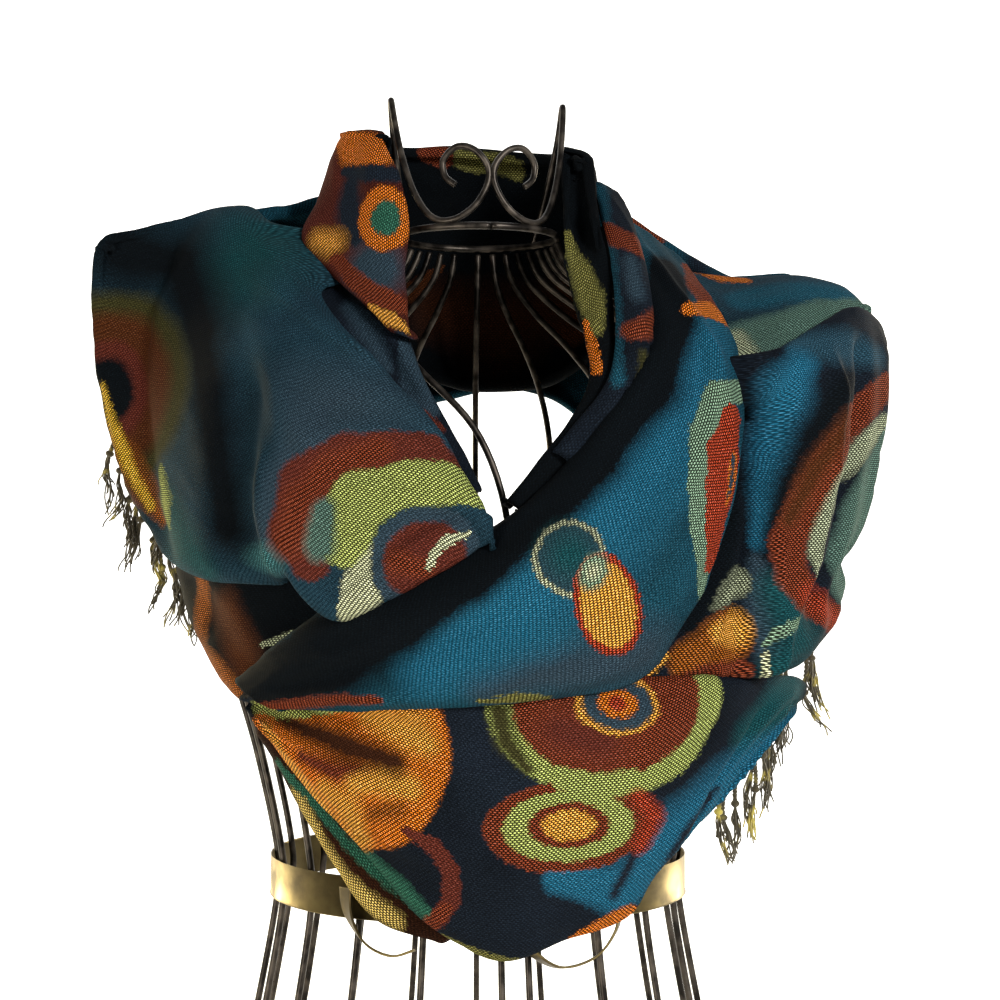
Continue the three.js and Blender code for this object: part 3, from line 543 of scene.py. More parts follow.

# Motifs that were placed on each stretch, the first under the others, in pixels of the picture.
# An oval has its centre, its half sizes, a turn in degrees, its softness and its rings, each with the share
# of the size where it starts. A stroke has a yarn, its softness, and points with a column, a line and a half
# width. For an oval "deep" is its reach in depth in millimetres, and for a stroke how much depth counts.
# Besides the cloth's pattern, some motifs are painted shade, painted highlight and painted glow, each marked
# where it stands.
MOTIFS = {
    "shoulder_flap_left": [
        oval((340, 405), (72, 42), -8, 1.4, (1, "slate")),
        oval((250, 250), (60, 60), 0, 1.4, (1, "pine")),
        stroke("slate", 0.8, (310, 430, 26), (285, 480, 22), (262, 540, 16)),
        stroke("pine", 1.4, (165, 500, 14), (180, 545, 22), (205, 570, 14)),
        oval((260, 558), (28, 14), 0, 1.2, (1, "aqua")),
        # Painted shade down the left side of the flap, which lies in shadow
        stroke("shade_black", 1.4, (120, 250, 48), (180, 262, 34), (200, 330, 34), (215, 430, 30),
            (228, 530, 28)),
        # Painted shade: this ring lies in shadow at the left edge, so its rings are darkened copies of olive
        # and brown yarns round a near-black middle
        oval((104, 392), (102, 104), 0, 0.16, (1, "moss"), (0.78, "umber"), (0.45, "maroon"),
            (0.36, "shade_black"), deep=300),
        # Along the lower left edge, brass and lime yarns, with a bright yellow stroke over them as painted
        # glow of light shining through the thin edge
        stroke("brass", 1.4, (110, 425, 5), (126, 458, 12), (146, 490, 13), (160, 520, 6)),
        stroke("edge_glow_yellow", 1.2, (102, 385, 3), (110, 420, 6), (128, 465, 7), (150, 505, 6)),
        stroke("lime", 1.4, (160, 470, 4), (164, 500, 8), (166, 525, 4)),
        stroke("maroon", 0.25, (312, 562, 20), (294, 525, 24), (305, 482, 26), (345, 458, 24),
            (392, 447, 18), (432, 453, 16), (466, 478, 10)),
        stroke("rust", 1.4, (290, 540, 16), (300, 500, 14), (330, 468, 12), (380, 448, 10)),
        stroke("lime", 0.18, (484, 500, 9), (448, 484, 20), (402, 482, 22), (358, 500, 28),
            (345, 540, 26)),
        stroke("straw", 0.25, (385, 560, 22), (364, 588, 22), (350, 612, 14)),
        stroke("sage", 0.8, (325, 512, 12), (322, 545, 16)),
        oval((425, 560), (56, 56), 10, 0.08, (1, "slate"), (0.74, "maroon")),
        stroke("rust", 1.4, (398, 560, 10), (425, 570, 8)),
        stroke("straw", 0.3, (466, 535, 4), (445, 542, 6), (434, 553, 5), (428, 566, 4)),
    ],
    "pocket_left": [
        stroke("brass", 0.7, (203, 585, 9), (214, 640, 11), (232, 692, 12), deep=0.2),
        stroke("umber", 1.2, (226, 610, 18), (240, 650, 20), (252, 690, 12)),
        # Painted shadow: near-black where the left flap shades the pocket
        stroke("shade_black", 1.2, (255, 597, 16), (300, 604, 26), (350, 612, 20)),
        stroke("shade_black", 1.2, (262, 690, 10), (285, 668, 14), (320, 650, 12)),
        stroke("pale", 0.5, (262, 645, 3), (284, 638, 4), (306, 631, 3)),
        stroke("maroon", 1.0, (318, 636, 5), (340, 622, 6)),
    ],
    "diagonal_band": [
        stroke("slate", 1.4, (640, 655, 34), (560, 672, 24), (480, 690, 16)),
        # Painted highlight: blue along the lit crest of the band. Painted shade: near-black along its inner
        # edge, where the band turns into the neck hollow
        stroke("blue", 1.4, (700, 340, 30), (655, 450, 40), (600, 520, 44), (520, 610, 40),
            (430, 665, 30)),
        stroke("shade_black", 0.55, (250, 690, 26), (325, 655, 46), (400, 612, 38), (468, 574, 30),
            (530, 515, 36), (585, 452, 42), (640, 380, 42), (668, 320, 32), (668, 265, 22)),
        stroke("rust", 0.25, (692, 268, 10), (702, 285, 18), (715, 300, 19)),
        stroke("orange", 0.3, (690, 308, 8), (712, 309, 11), (732, 320, 8)),
        stroke("mint", 0.15, (742, 392, 12), (716, 396, 15), (702, 430, 14), (697, 490, 12),
            (703, 550, 9), (704, 600, 6)),
        stroke("red", 0.1, (734, 420, 14), (724, 452, 21), (720, 490, 18), (716, 530, 12), (709, 570, 6)),
        stroke("orange", 0.4, (735, 455, 4), (731, 480, 5), (726, 505, 3),
            rings=((1, "orange"), (0.5, "slate"))),
        oval((570, 559), (37, 41), 0, 0.07, (1, "straw"), (0.87, "slate")),
        oval((570, 556), (26, 28), 0, 1.4, (1, "pine")),
        oval((608, 604), (34, 51), 12, 0.06, (1, "red"), (0.82, "amber")),
        oval((594, 574), (14, 20), -25, 0.5, (1, "mint"), (0.5, "straw")),
        stroke("rust", 0.8, (258, 708, 5), (300, 704, 6), (345, 701, 6), (378, 703, 4)),
        stroke("olive", 0.5, (478, 702, 3), (515, 699, 5), (548, 701, 4)),
    ],
    "front_point": [
        stroke("pine", 0.7, (790, 700, 30), (755, 740, 26), (770, 720, 20)),
        # Painted highlight and painted shade on the folds at the right: blue along their crests, navy in
        # their troughs
        stroke("blue", 0.7, (800, 735, 22), (735, 790, 42), (680, 850, 44), (620, 890, 26),
            (560, 880, 16)),
        stroke("navy", 1.4, (660, 800, 5), (635, 850, 7), (615, 895, 6)),
        stroke("navy", 1.4, (715, 790, 4), (680, 840, 6), (655, 890, 5)),
        oval((345, 748), (108, 104), 0, 0.05, (1, "orange"), deep=200),
        # Painted light on the orange disc's folds: amber where they catch the light, and rust, brass and
        # brown in their troughs as painted shade
        stroke("amber", 1.2, (370, 718, 12), (410, 728, 22), (428, 745, 12)),
        stroke("rust", 1.4, (300, 755, 6), (332, 770, 10), (362, 774, 7)),
        stroke("amber", 1.2, (352, 786, 10), (385, 780, 16), (412, 786, 11)),
        stroke("brass", 1.4, (372, 816, 8), (400, 808, 9)),
        stroke("amber", 1.4, (322, 788, 9), (345, 808, 14), (362, 840, 10)),
        stroke("brown", 1.2, (278, 716, 4), (318, 732, 12), (350, 748, 15), (395, 764, 12)),
        stroke("lime", 0.5, (255, 706, 6), (280, 712, 6), (330, 709, 5), (365, 709, 4)),
        stroke("amber", 1.4, (262, 722, 4), (300, 778, 6), (335, 825, 5), (360, 852, 4)),
        stroke("green", 1.4, (368, 858, 7), (400, 890, 8), (428, 915, 6)),
        stroke("maroon", 0.35, (405, 828, 5), (432, 845, 8), (450, 873, 9), (451, 900, 9), (436, 920, 9)),
        stroke("rust", 0.5, (446, 908, 6), (432, 922, 8), (424, 930, 6)),
        oval((611, 700), (126, 96), 0, 0.04, (1, "lime"), (0.79, "rust")),
        stroke("moss", 1.2, (500, 712, 12), (506, 742, 11), (528, 768, 6)),
        stroke("maroon", 1.4, (600, 740, 26), (560, 730, 22)),
        oval((618, 704), (44, 31), 0, 0.1, (1, "amber"), (0.84, "slate"), (0.48, "orange"),
            (0.24, "red")),
        oval((570, 827), (87, 46), 3, 0.05, (1, "rust"), (0.78, "lime"), (0.49, "rust"), (0.33, "amber")),
        stroke("lime", 0.4, (565, 780, 12), (600, 788, 14), (635, 780, 12)),
        stroke("red", 1.4, (640, 795, 8), (655, 815, 8), (640, 845, 8)),
        stroke("orange", 0.4, (575, 940, 7), (600, 930, 11), (628, 915, 12)),
        stroke("olive", 0.6, (440, 936, 3), (475, 952, 5), (515, 961, 5)),
    ],
    "shoulder_flap_right": [
        stroke("dusk", 1.2, (800, 345, 14), (850, 348, 18), (878, 356, 12)),
        # Painted highlight: blue along the lit crest of the vertical fold
        stroke("blue", 1.4, (802, 366, 14), (784, 398, 24), (774, 440, 20), (765, 490, 13),
            (760, 540, 9)),
        stroke("slate", 1.4, (758, 560, 8), (760, 610, 10), (765, 650, 12)),
        stroke("pine", 1.4, (780, 590, 18), (800, 640, 26), (780, 670, 18)),
        # Painted shade: near-black in the trough beside the fold
        stroke("shade_black", 1.4, (850, 385, 16), (812, 440, 24), (788, 495, 20), (774, 545, 12)),
        stroke("sage", 0.7, (896, 430, 14), (880, 470, 20), (862, 515, 22), (845, 555, 20),
            (845, 590, 18)),
        stroke("pale", 0.6, (884, 420, 7), (860, 450, 12), (840, 486, 14), (824, 522, 13),
            (815, 552, 9), (820, 578, 5)),
        stroke("rust", 0.5, (890, 384, 12), (856, 420, 15), (827, 464, 16), (804, 506, 17),
            (788, 543, 16), (792, 576, 15), (810, 599, 14), (838, 619, 13)),
        stroke("umber", 1.4, (850, 420, 10), (815, 468, 12), (790, 520, 9)),
        stroke("red", 1.4, (810, 592, 10), (830, 610, 12), (845, 628, 10)),
        stroke("mint", 0.5, (762, 645, 3), (782, 632, 6), (804, 619, 5)),
        stroke("straw", 0.5, (764, 655, 4), (765, 690, 7)),
        stroke("brass", 0.4, (690, 660, 20), (716, 645, 25), (727, 636, 26)),
        stroke("amber", 0.9, (722, 632, 12), (734, 630, 17)),
        stroke("pale", 0.6, (712, 602, 7), (728, 590, 13), (738, 584, 15)),
        stroke("rust", 0.6, (665, 690, 10), (705, 676, 12), (738, 672, 12)),
        stroke("amber", 0.5, (668, 655, 4), (652, 670, 6), (630, 688, 5)),
        # Painted shade: near-black in the dark valley at the flap's left
        stroke("shade_black", 1.2, (735, 400, 16), (728, 500, 20), (722, 565, 16), (690, 625, 12)),
    ],
    "shoulder_top_right": [
        stroke("teal", 0.7, (740, 300, 14), (790, 290, 14), (850, 292, 10)),
        stroke("sage", 0.4, (735, 345, 22), (775, 335, 24), (825, 318, 20), (865, 308, 14)),
        stroke("orange", 0.5, (700, 264, 8), (722, 272, 9), (748, 280, 5)),
        stroke("pale", 0.9, (740, 338, 10), (748, 356, 12)),
    ],
    "neck_fold_left": [
        stroke("orange", 0.4, (345, 140, 12), (355, 148, 20), (378, 150, 20), deep=0.1),
        stroke("navy", 0.5, (345, 172, 6), (368, 173, 9), (395, 172, 10)),
        stroke("navy", 0.8, (352, 185, 10), (350, 215, 14), (356, 240, 10)),
        oval((376, 268), (32, 30), -30, 0.7, (1, "slate")),
        # Painted glow on the fold's left edge
        stroke("amber", 1.4, (318, 238, 10), (332, 242, 13)),
        oval((384, 217), (27, 40), 8, 0.12, (1, "orange"), (0.56, "green")),
        stroke("rust", 0.4, (336, 258, 6), (355, 278, 9), (376, 296, 11), (400, 306, 9)),
        stroke("amber", 0.4, (370, 308, 4), (386, 318, 7), (404, 330, 5)),
        stroke("navy", 0.7, (395, 335, 5), (406, 345, 8)),
    ],
    "neck_tuck_left": [
        stroke("slate", 1.2, (350, 305, 9), (368, 335, 10), (388, 368, 6)),
        stroke("slate", 0.6, (402, 345, 6), (415, 380, 14), (430, 410, 10)),
        stroke("maroon", 0.6, (412, 403, 3), (424, 414, 5), (440, 430, 4)),
    ],
    "neck_pleat_outer": [
        stroke("teal", 1.4, (598, 190, 9), (606, 260, 8), (614, 330, 7), (617, 380, 6)),
        stroke("rust", 0.5, (604, 228, 8), (622, 238, 10), (645, 248, 12)),
        stroke("rust", 0.8, (632, 330, 10), (648, 326, 12), (665, 318, 12)),
        stroke("slate", 1.4, (630, 262, 7), (638, 290, 9)),
        stroke("moss", 1.4, (644, 355, 5), (640, 385, 4)),
    ],
    "neck_pleat_inner": [
        stroke("olive", 0.8, (566, 235, 5), (578, 265, 8), (590, 300, 11), (596, 325, 8)),
        stroke("orange", 0.3, (584, 320, 3), (592, 344, 6), (598, 368, 6)),
    ],
    "collar_back": [
        stroke("umber", 0.5, (408, 296, 8), (425, 283, 8), (442, 268, 3), deep=0.05),
        stroke("umber", 0.5, (568, 295, 14), (570, 330, 16), deep=0.05),
        stroke("rust", 0.6, (424, 151, 6), (444, 154, 8), deep=0.05),
        stroke("olive", 0.8, (462, 158, 7), (500, 162, 8), (520, 172, 6), deep=0.05),
        stroke("brown", 1.4, (440, 310, 24), (500, 330, 34), (550, 310, 22), deep=0.05),
    ],
    "back_right": [
        stroke("rust", 0.6, (632, 222, 10), (652, 236, 10)),
    ],
    "under_layer_left": [
        stroke("gold", 0.9, (296, 790, 5), (318, 842, 10), (348, 888, 12), (395, 922, 9)),
        stroke("green", 0.8, (278, 764, 4), (325, 816, 5), (378, 872, 6), (418, 908, 5)),
    ],
}

# The hidden side has motifs of the same kinds, placed in millimetres
BACK_MOTIFS = {
    "back_left": [
        # Painted shade: dark strokes along the folds of the back
        stroke("shade_black", 1.4, (-232, 40, 620, 14), (-222, 55, 540, 18), (-205, 75, 460, 14)),
        stroke("navy", 1.4, (-165, 60, 640, 12), (-150, 100, 560, 16), (-140, 110, 470, 12)),
        stroke("shade_black", 1.4, (-80, 80, 660, 10), (-60, 110, 600, 16), (-45, 125, 540, 12)),
        oval((-190, 75, 505), (44, 200, 42), 10, 0.05, (1, "rust"), (0.78, "lime"), (0.5, "slate"),
            (0.32, "orange")),
        oval((-104, 105, 590), (34, 200, 30), -20, 0.06, (1, "lime"), (0.8, "maroon"), (0.42, "amber")),
        oval((-148, 85, 632), (20, 200, 17), 0, 0.08, (1, "straw"), (0.84, "clear")),
        oval((-30, 118, 640), (30, 200, 38), 15, 0.06, (1, "maroon"), (0.75, "orange"), (0.35, "pine")),
        oval((-135, 100, 480), (26, 200, 24), 0, 0.08, (1, "red"), (0.8, "clear")),
    ],
    "back_right": [
        # Painted shade: dark strokes along the folds of the back
        stroke("shade_black", 1.4, (240, 30, 590, 12), (226, 55, 500, 18), (212, 70, 420, 14)),
        stroke("navy", 1.4, (150, 40, 625, 12), (150, 90, 540, 16), (160, 105, 450, 12)),
        stroke("shade_black", 1.4, (75, 80, 660, 10), (70, 110, 610, 14), (50, 125, 545, 12)),
        oval((196, 70, 470), (42, 200, 46), -12, 0.05, (1, "lime"), (0.79, "rust"), (0.34, "blue"),
            (0.18, "orange")),
        oval((112, 100, 585), (38, 200, 32), 25, 0.06, (1, "orange"), (0.7, "maroon"), (0.4, "sage")),
        oval((168, 85, 560), (19, 200, 19), 0, 0.08, (1, "straw"), (0.84, "clear")),
        oval((30, 125, 605), (28, 200, 26), 0, 0.06, (1, "red"), (0.78, "lime"), (0.49, "rust"),
            (0.32, "amber")),
        oval((222, 45, 560), (24, 200, 30), 0, 0.08, (1, "rust"), (0.8, "clear")),
    ],
}


def length_setting(name, description, default, low, high):
    """A length that a user may change, in metres."""
    return bpy.props.FloatProperty(
        name=name,
        description=description,
        default=default,
        min=low,
        max=high,
        unit="LENGTH",
        subtype="DISTANCE",
    )


def colour_setting(name, description, default):
    """A colour that a user may change."""
    return bpy.props.FloatVectorProperty(
        name=name, description=description, default=default, size=3, min=0.0, max=1.0, subtype="COLOR"
    )


class ShawlSettings(bpy.types.PropertyGroup):
    """Sizes and colours of the cloth and its fringe."""

    thickness: length_setting("Cloth thickness", "Thickness of the woven cloth", 0.0009, 0.0003, 0.003)
    thread: length_setting("Thread pitch", "Distance from one yarn to the next", 0.0013, 0.0004, 0.004)
    ripple: length_setting("Ripple", "Height of the soft uneven ripples in the drape", 0.0016, 0.0, 0.006)
    relief: bpy.props.FloatProperty(
        name="Weave relief",
        description="Strength of the weave's bump",
        default=0.55,
        min=0.0,
        max=1.0,
        subtype="FACTOR",
    )
    ground: colour_setting("Ground colour", "Main colour of the cloth", YARN["teal"])
    tassel_length: length_setting("Tassel length", "Length of one tassel of the fringe", 0.088, 0.02, 0.2)
    tassel_colour: colour_setting("Tassel colour", "Colour of the fringe's bright yarns", (0.46, 0.38, 0.07))
    tassel_shade: colour_setting("Tassel shade", "Colour of the fringe's dark yarns", (0.045, 0.035, 0.014))


class FormSettings(bpy.types.PropertyGroup):
    """Sizes and colours of the wire dress form."""

    wire: length_setting("Cage wire radius", "Radius of a wire of the cage", 0.0022, 0.001, 0.004)
    scroll: length_setting("Scroll wire radius", "Radius of the wire of the scrolls", 0.0021, 0.001, 0.004)
    ring: length_setting("Neck ring radius", "Radius of the wire of the neck ring", 0.0024, 0.001, 0.004)
    ribbon: length_setting("Ribbon width", "Width of the bow's ribbon", 0.012, 0.004, 0.03)
    iron: colour_setting("Wire colour", "Colour of the painted wire", (0.017, 0.0145, 0.0125))
    worn_iron: colour_setting("Worn wire colour", "Colour of wire with worn paint", (0.085, 0.072, 0.06))
    brass: colour_setting("Brass colour", "Colour of the waist band", (0.21, 0.16, 0.06))
    dull_brass: colour_setting("Dull brass colour", "Colour of brass that has dulled", (0.07, 0.052, 0.022))


class StageSettings(bpy.types.PropertyGroup):
    """The pale backdrop and its lights."""

    backdrop: colour_setting("Backdrop colour", "Colour of the floor and backdrop", (0.93, 0.93, 0.92))
    key_power: bpy.props.FloatProperty(
        name="Key light", description="Power of the main light, in watts", default=30.0, min=0.0, max=200.0
    )


# Reading the tables


def catmull(a, b, c, d, t):
    """A smooth value between b and c."""
    t2, t3 = t * t, t * t * t
    return 0.5 * (2 * b + (c - a) * t + (2 * a - 5 * b + 4 * c - d) * t2 + (3 * b - a - 3 * c + d) * t3)


def read_column(rows, column, s):
    """A column of a table, read smoothly at share s of its rows."""
    last = len(rows) - 1
    at = min(max(s, 0.0), 1.0) * last
    i = min(int(at), last - 1)
    picked = [rows[min(max(k, 0), last)][column] for k in range(i - 1, i + 3)]
    if isinstance(picked[1], (int, float)):
        return catmull(*picked, at - i)
    return Vector([catmull(*(p[k] for p in picked), at - i) for k in range(len(picked[1]))])


def section_at(stretch, s):
    """Edges, swell and directions of a stretch at share s of its length."""
    top = read_column(stretch["rows"], "top", s)
    low = read_column(stretch["rows"], "low", s)
    swell = read_column(stretch["rows"], "swell", s)
    down = (low - top).normalized()
    middle = (top + low) / 2
    face = Vector(stretch.get("face", (middle.x, middle.y, 0))).normalized()
    out = (face - down * face.dot(down)).normalized()
    return top, low, swell, down, out


def smooth_step(x):
    x = min(max(x, 0.0), 1.0)
    return x * x * (3 - 2 * x)


def fold_lift(stretch, folds, s, t):
    """How far the folds lift the cloth at shares s and t."""
    lift = 0.0
    for fold in folds:
        (s0, t0), (s1, t1) = fold["from"], fold["to"]
        u, v = (s1 - s0) * stretch["long"], (t1 - t0) * stretch["wide"]
        x, y = (s - s0) * stretch["long"], (t - t0) * stretch["wide"]
        along = (x * u + y * v) / (u * u + v * v)
        beside = (x * v - y * u) / math.hypot(u, v)
        strength = smooth_step(min(along, 1 - along) / FADE)
        lift += fold["depth"] * strength * math.exp(-((beside / fold["width"]) ** 2))
    return lift


def cloth_rows(stretch, along, across, lip_steps=6):
    """Points of the cloth in millimetres, one row for each section."""
    folds = stretch.get("folds", []) + stretch.get("creases", [])
    rows = []
    for i in range(along + 1):
        s = i / along
        top, low, swell, down, out = section_at(stretch, s)
        row = []
        for k in range(lip_steps, 0, -1):
            turn = LIP_TURN * k / lip_steps
            lift = fold_lift(stretch, folds, s, 0.0)
            row.append(top + down * (LIP * (1 - math.cos(turn))) + out * (lift - LIP * math.sin(turn)))
        for j in range(across + 1):
            t = j / across
            share = (1 - math.cos(math.pi * t)) / 2
            bulge = swell * math.sin(math.pi * t) ** stretch.get("flat", 1) if 0 < t < 1 else 0.0
            row.append(top.lerp(low, share) + out * (bulge + fold_lift(stretch, folds, s, t)))
        for k in range(1, lip_steps + 1):
            turn = LIP_TURN * k / lip_steps
            lift = fold_lift(stretch, folds, s, 1.0)
            row.append(low - down * (LIP * (1 - math.cos(turn))) + out * (lift - LIP * math.sin(turn)))
        rows.append(row)
    return rows


def grid_normals(rows):
    """A unit normal at each point of a grid."""
    last_row, last_column = len(rows) - 1, len(rows[0]) - 1
    normals = []
    for i, row in enumerate(rows):
        line = []
        for j in range(len(row)):
            a = rows[min(i + 1, last_row)][j] - rows[max(i - 1, 0)][j]
            b = rows[i][min(j + 1, last_column)] - rows[i][max(j - 1, 0)]
            line.append(a.cross(b).normalized())
        normals.append(line)
    return normals


def ripple(rows, coordinates, stretch, height, seed):
    """Adds long folds that follow the drape, then finer ripples, to a grid in place."""
    normals = grid_normals(rows)
    turn = math.radians(stretch.get("drape", 0))
    for i, row in enumerate(rows):
        for j, point in enumerate(row):
            u, v = coordinates[i][j][0] / MM, coordinates[i][j][1] / MM
            along = u * math.cos(turn) + v * math.sin(turn)
            beside = v * math.cos(turn) - u * math.sin(turn)
            fold, crease, fine = (
                noise.noise(Vector((along / long, beside / wide, seed * shift)))
                for long, wide, shift in RIPPLES
            )
            kinds = (fold, (1 - 2 * abs(crease)) ** 3, fine)
            lift = sum(share * kind for share, kind in zip(RIPPLE_SHARES, kinds))
            row[j] = point + normals[i][j] * height * lift


def round_ends(rows, share):
    """The grid with the corners of both its ends drawn in along its length."""
    last, columns = len(rows) - 1, len(rows[0]) - 1
    rounded = [list(row) for row in rows]
    for j in range(columns + 1):
        corner = share * abs(2 * j / columns - 1) ** 3
        for i in range(last + 1):
            at = (corner + (1 - 2 * corner) * i / last) * last
            k = min(int(at), last - 1)
            rounded[i][j] = rows[k][j].lerp(rows[k + 1][j], at - k)
    return rounded


def roll_ends(stretch, rows, radius=4.0, steps=5):
    """The grid with its first and last rows rolled under, so that no raw edge shows there."""
    middle = len(rows[0]) // 2
    ends = []
    for share, edge, inner in ((0.0, 0, 3), (1.0, -1, -4)):
        out = section_at(stretch, share)[4]
        way = rows[edge][middle] - rows[inner][middle]
        way = (way - out * way.dot(out)).normalized()
        turns = [math.pi * 0.8 * k / steps for k in range(1, steps + 1)]
        moves = [way * radius * math.sin(turn) - out * radius * (1 - math.cos(turn)) for turn in turns]
        ends.append([[point + move for point in rows[edge]] for move in moves])
    return ends[0][::-1] + rows + ends[1]


def tuck_under(rows, covers, clear):
    """Moves a grid behind the layers that lie over it, so that no layer shows through another."""
    if not covers:
        return
    reach = 120.0
    past = 22.0
    needed = []
    for row in rows:
        line = []
        for point in row:
            way = Vector((point.x, point.y, 0)).normalized()
            push = 0.0
            for cover in covers:
                hit = cover.ray_cast(point + way * reach, -way, reach + past)
                if hit[0] is not None:
                    push = max(push, hit[3] - reach + clear)
            line.append(push)
        needed.append(line)
    last_row, last_column = len(rows) - 1, len(rows[0]) - 1
    moves = [line[:] for line in needed]
    for _ in range(12):
        soft = []
        for i, line in enumerate(moves):
            above, below = moves[max(i - 1, 0)], moves[min(i + 1, last_row)]
            soft.append([])
            for j in range(len(line)):
                beside = line[max(j - 1, 0)] + line[min(j + 1, last_column)]
                soft[i].append(max(needed[i][j], (above[j] + below[j] + beside) * 0.24))
        moves = soft
    for row, line in zip(rows, moves):
        for j, push in enumerate(line):
            row[j] = row[j] - Vector((row[j].x, row[j].y, 0)).normalized() * push


def cloth_map(rows):
    """Cloth coordinates in metres for a grid: along its middle line and across from it."""
    middle = len(rows[0]) // 2
    u = 0.0
    coordinates = []
    for i, row in enumerate(rows):
        if i:
            u += (row[middle] - rows[i - 1][middle]).length
        line = [0.0] * len(row)
        for j in range(middle + 1, len(row)):
            line[j] = line[j - 1] + (row[j] - row[j - 1]).length
        for j in range(middle - 1, -1, -1):
            line[j] = line[j + 1] - (row[j + 1] - row[j]).length
        coordinates.append([(u * MM, v * MM) for v in line])
    return coordinates


# Mesh tools


def add_object(name, mesh):
    piece = bpy.data.objects.new(name, mesh)
    bpy.context.scene.collection.objects.link(piece)
    return piece


def to_frame(point):
    """A point of the tables, in millimetres from the neck's axis, as a place in the part's frame."""
    return (point - ORIGIN) * MM


def smooth_mesh(name, points, faces):
    """A smooth mesh over points of the tables."""
    mesh = bpy.data.meshes.new(name)
    mesh.from_pydata([to_frame(point) for point in points], [], faces)
    mesh.polygons.foreach_set("use_smooth", [True] * len(faces))
    mesh.update()
    return mesh


def mesh_from_grid(name, rows, coordinates=None):
    """A mesh over a grid of points, with its cloth coordinates."""
    columns = len(rows[0])
    faces = []
    for i in range(len(rows) - 1):
        a, b = i * columns, (i + 1) * columns
        faces += [(a + j, b + j, b + j + 1, a + j + 1) for j in range(columns - 1)]
    mesh = smooth_mesh(name, [point for row in rows for point in row], faces)
    if coordinates:
        layer = mesh.uv_layers.new(name="cloth")
        flat = [c for line in coordinates for c in line]
        for loop in mesh.loops:
            layer.data[loop.index].uv = flat[loop.vertex_index]
    return mesh


def ring_mesh(name, rows):
    """A mesh over sections that close on themselves, along a path that closes too."""
    columns, count = len(rows[0]), len(rows)
    faces = []
    for i in range(count):
        a, b = i * columns, (i + 1) % count * columns
        for j in range(columns):
            k = (j + 1) % columns
            faces.append((a + j, b + j, b + k, a + k))
    return smooth_mesh(name, [point for row in rows for point in row], faces)


def tube_rows(points, radius, sides):
    """Rings of points round a path with no twist. radius is one size or a function of share."""
    rows = []
    last = len(points) - 1
    side = None
    for i, point in enumerate(points):
        tangent = (points[min(i + 1, last)] - points[max(i - 1, 0)]).normalized()
        if side is None:
            helper = Vector((1, 0, 0)) if abs(tangent.x) < 0.8 else Vector((0, 1, 0))
            side = tangent.cross(helper).normalized()
        side = (side - tangent * side.dot(tangent)).normalized()
        other = tangent.cross(side)
        r = radius(i / last) if callable(radius) else radius
        ring = []
        for k in range(sides):
            angle = 2 * math.pi * k / sides
            ring.append(point + side * (r * math.cos(angle)) + other * (r * math.sin(angle)))
        rows.append(ring)
    return rows


def join_tubes(name, tubes):
    """One mesh of several tubes with capped ends."""
    points, faces = [], []
    for rows in tubes:
        start, columns = len(points), len(rows[0])
        points += [point for row in rows for point in row]
        for i in range(len(rows) - 1):
            a, b = start + i * columns, start + (i + 1) * columns
            for j in range(columns):
                k = (j + 1) % columns
                faces.append((a + j, a + k, b + k, b + j))
        faces.append(tuple(start + j for j in reversed(range(columns))))
        faces.append(tuple(len(points) - columns + j for j in range(columns)))
    return smooth_mesh(name, points, faces)


def finish_piece(piece, material, slot, *nodes):
    """Gives a piece its finish and its body, and hides the nodes that it stands for. slot is not used."""
    piece.data.materials.append(material)
    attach(piece, "root")
    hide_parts(*nodes)


def give_thickness(piece, thickness):
    """Thickens a sheet to both sides."""
    thick = piece.modifiers.new("thickness", "SOLIDIFY")
    thick.thickness = thickness
    thick.offset = 0.0


# Shader node groups and materials


def new_group(name, inputs, outputs):
    """A shader node group with named sockets, and the sockets that its nodes link to."""
    tree = bpy.data.node_groups.new(name, "ShaderNodeTree")
    for way, sockets in (("INPUT", inputs), ("OUTPUT", outputs)):
        for socket, kind in sockets.items():
            tree.interface.new_socket(name=socket, in_out=way, socket_type="NodeSocket" + kind)
    return tree, tree.nodes.new("NodeGroupInput").outputs, tree.nodes.new("NodeGroupOutput").inputs


def add_node(tree, kind, inputs=None, **settings):
    """A node with its settings, and its inputs by name or number: a value, or an output to link."""
    node = tree.nodes.new(kind)
    for key, value in settings.items():
        setattr(node, key, value)
    for key, value in (inputs or {}).items():
        if isinstance(value, bpy.types.NodeSocket):
            tree.links.new(value, node.inputs[key])
        else:
            node.inputs[key].default_value = value
    return node


def number_of(tree, operation, *values, clamp=False):
    """The output of a Math node."""
    node = add_node(tree, "ShaderNodeMath", dict(enumerate(values)), operation=operation, use_clamp=clamp)
    return node.outputs[0]


def vector_of(tree, operation, *values, scale=None):
    """The output of a Vector Math node, which is a number for a length or a dot product."""
    inputs = dict(enumerate(values))
    if scale is not None:
        inputs["Scale"] = scale
    node = add_node(tree, "ShaderNodeVectorMath", inputs, operation=operation)
    return node.outputs["Value" if operation in ("LENGTH", "DOT_PRODUCT") else "Vector"]


def mix_colours(tree, factor, a, b):
    """The colour between a and b."""
    return add_node(tree, "ShaderNodeMix", {0: factor, 6: a, 7: b}, data_type="RGBA").outputs[2]


def noise_of(tree, vector, scale, detail, output="Fac"):
    """An output of a noise texture."""
    inputs = {"Vector": vector, "Scale": scale, "Detail": detail}
    return add_node(tree, "ShaderNodeTexNoise", inputs).outputs[output]


def centred(tree, colour, size):
    """A random colour as a vector round zero, up to half a size each way."""
    return vector_of(tree, "SCALE", vector_of(tree, "SUBTRACT", colour, (0.5, 0.5, 0.5)), scale=size)


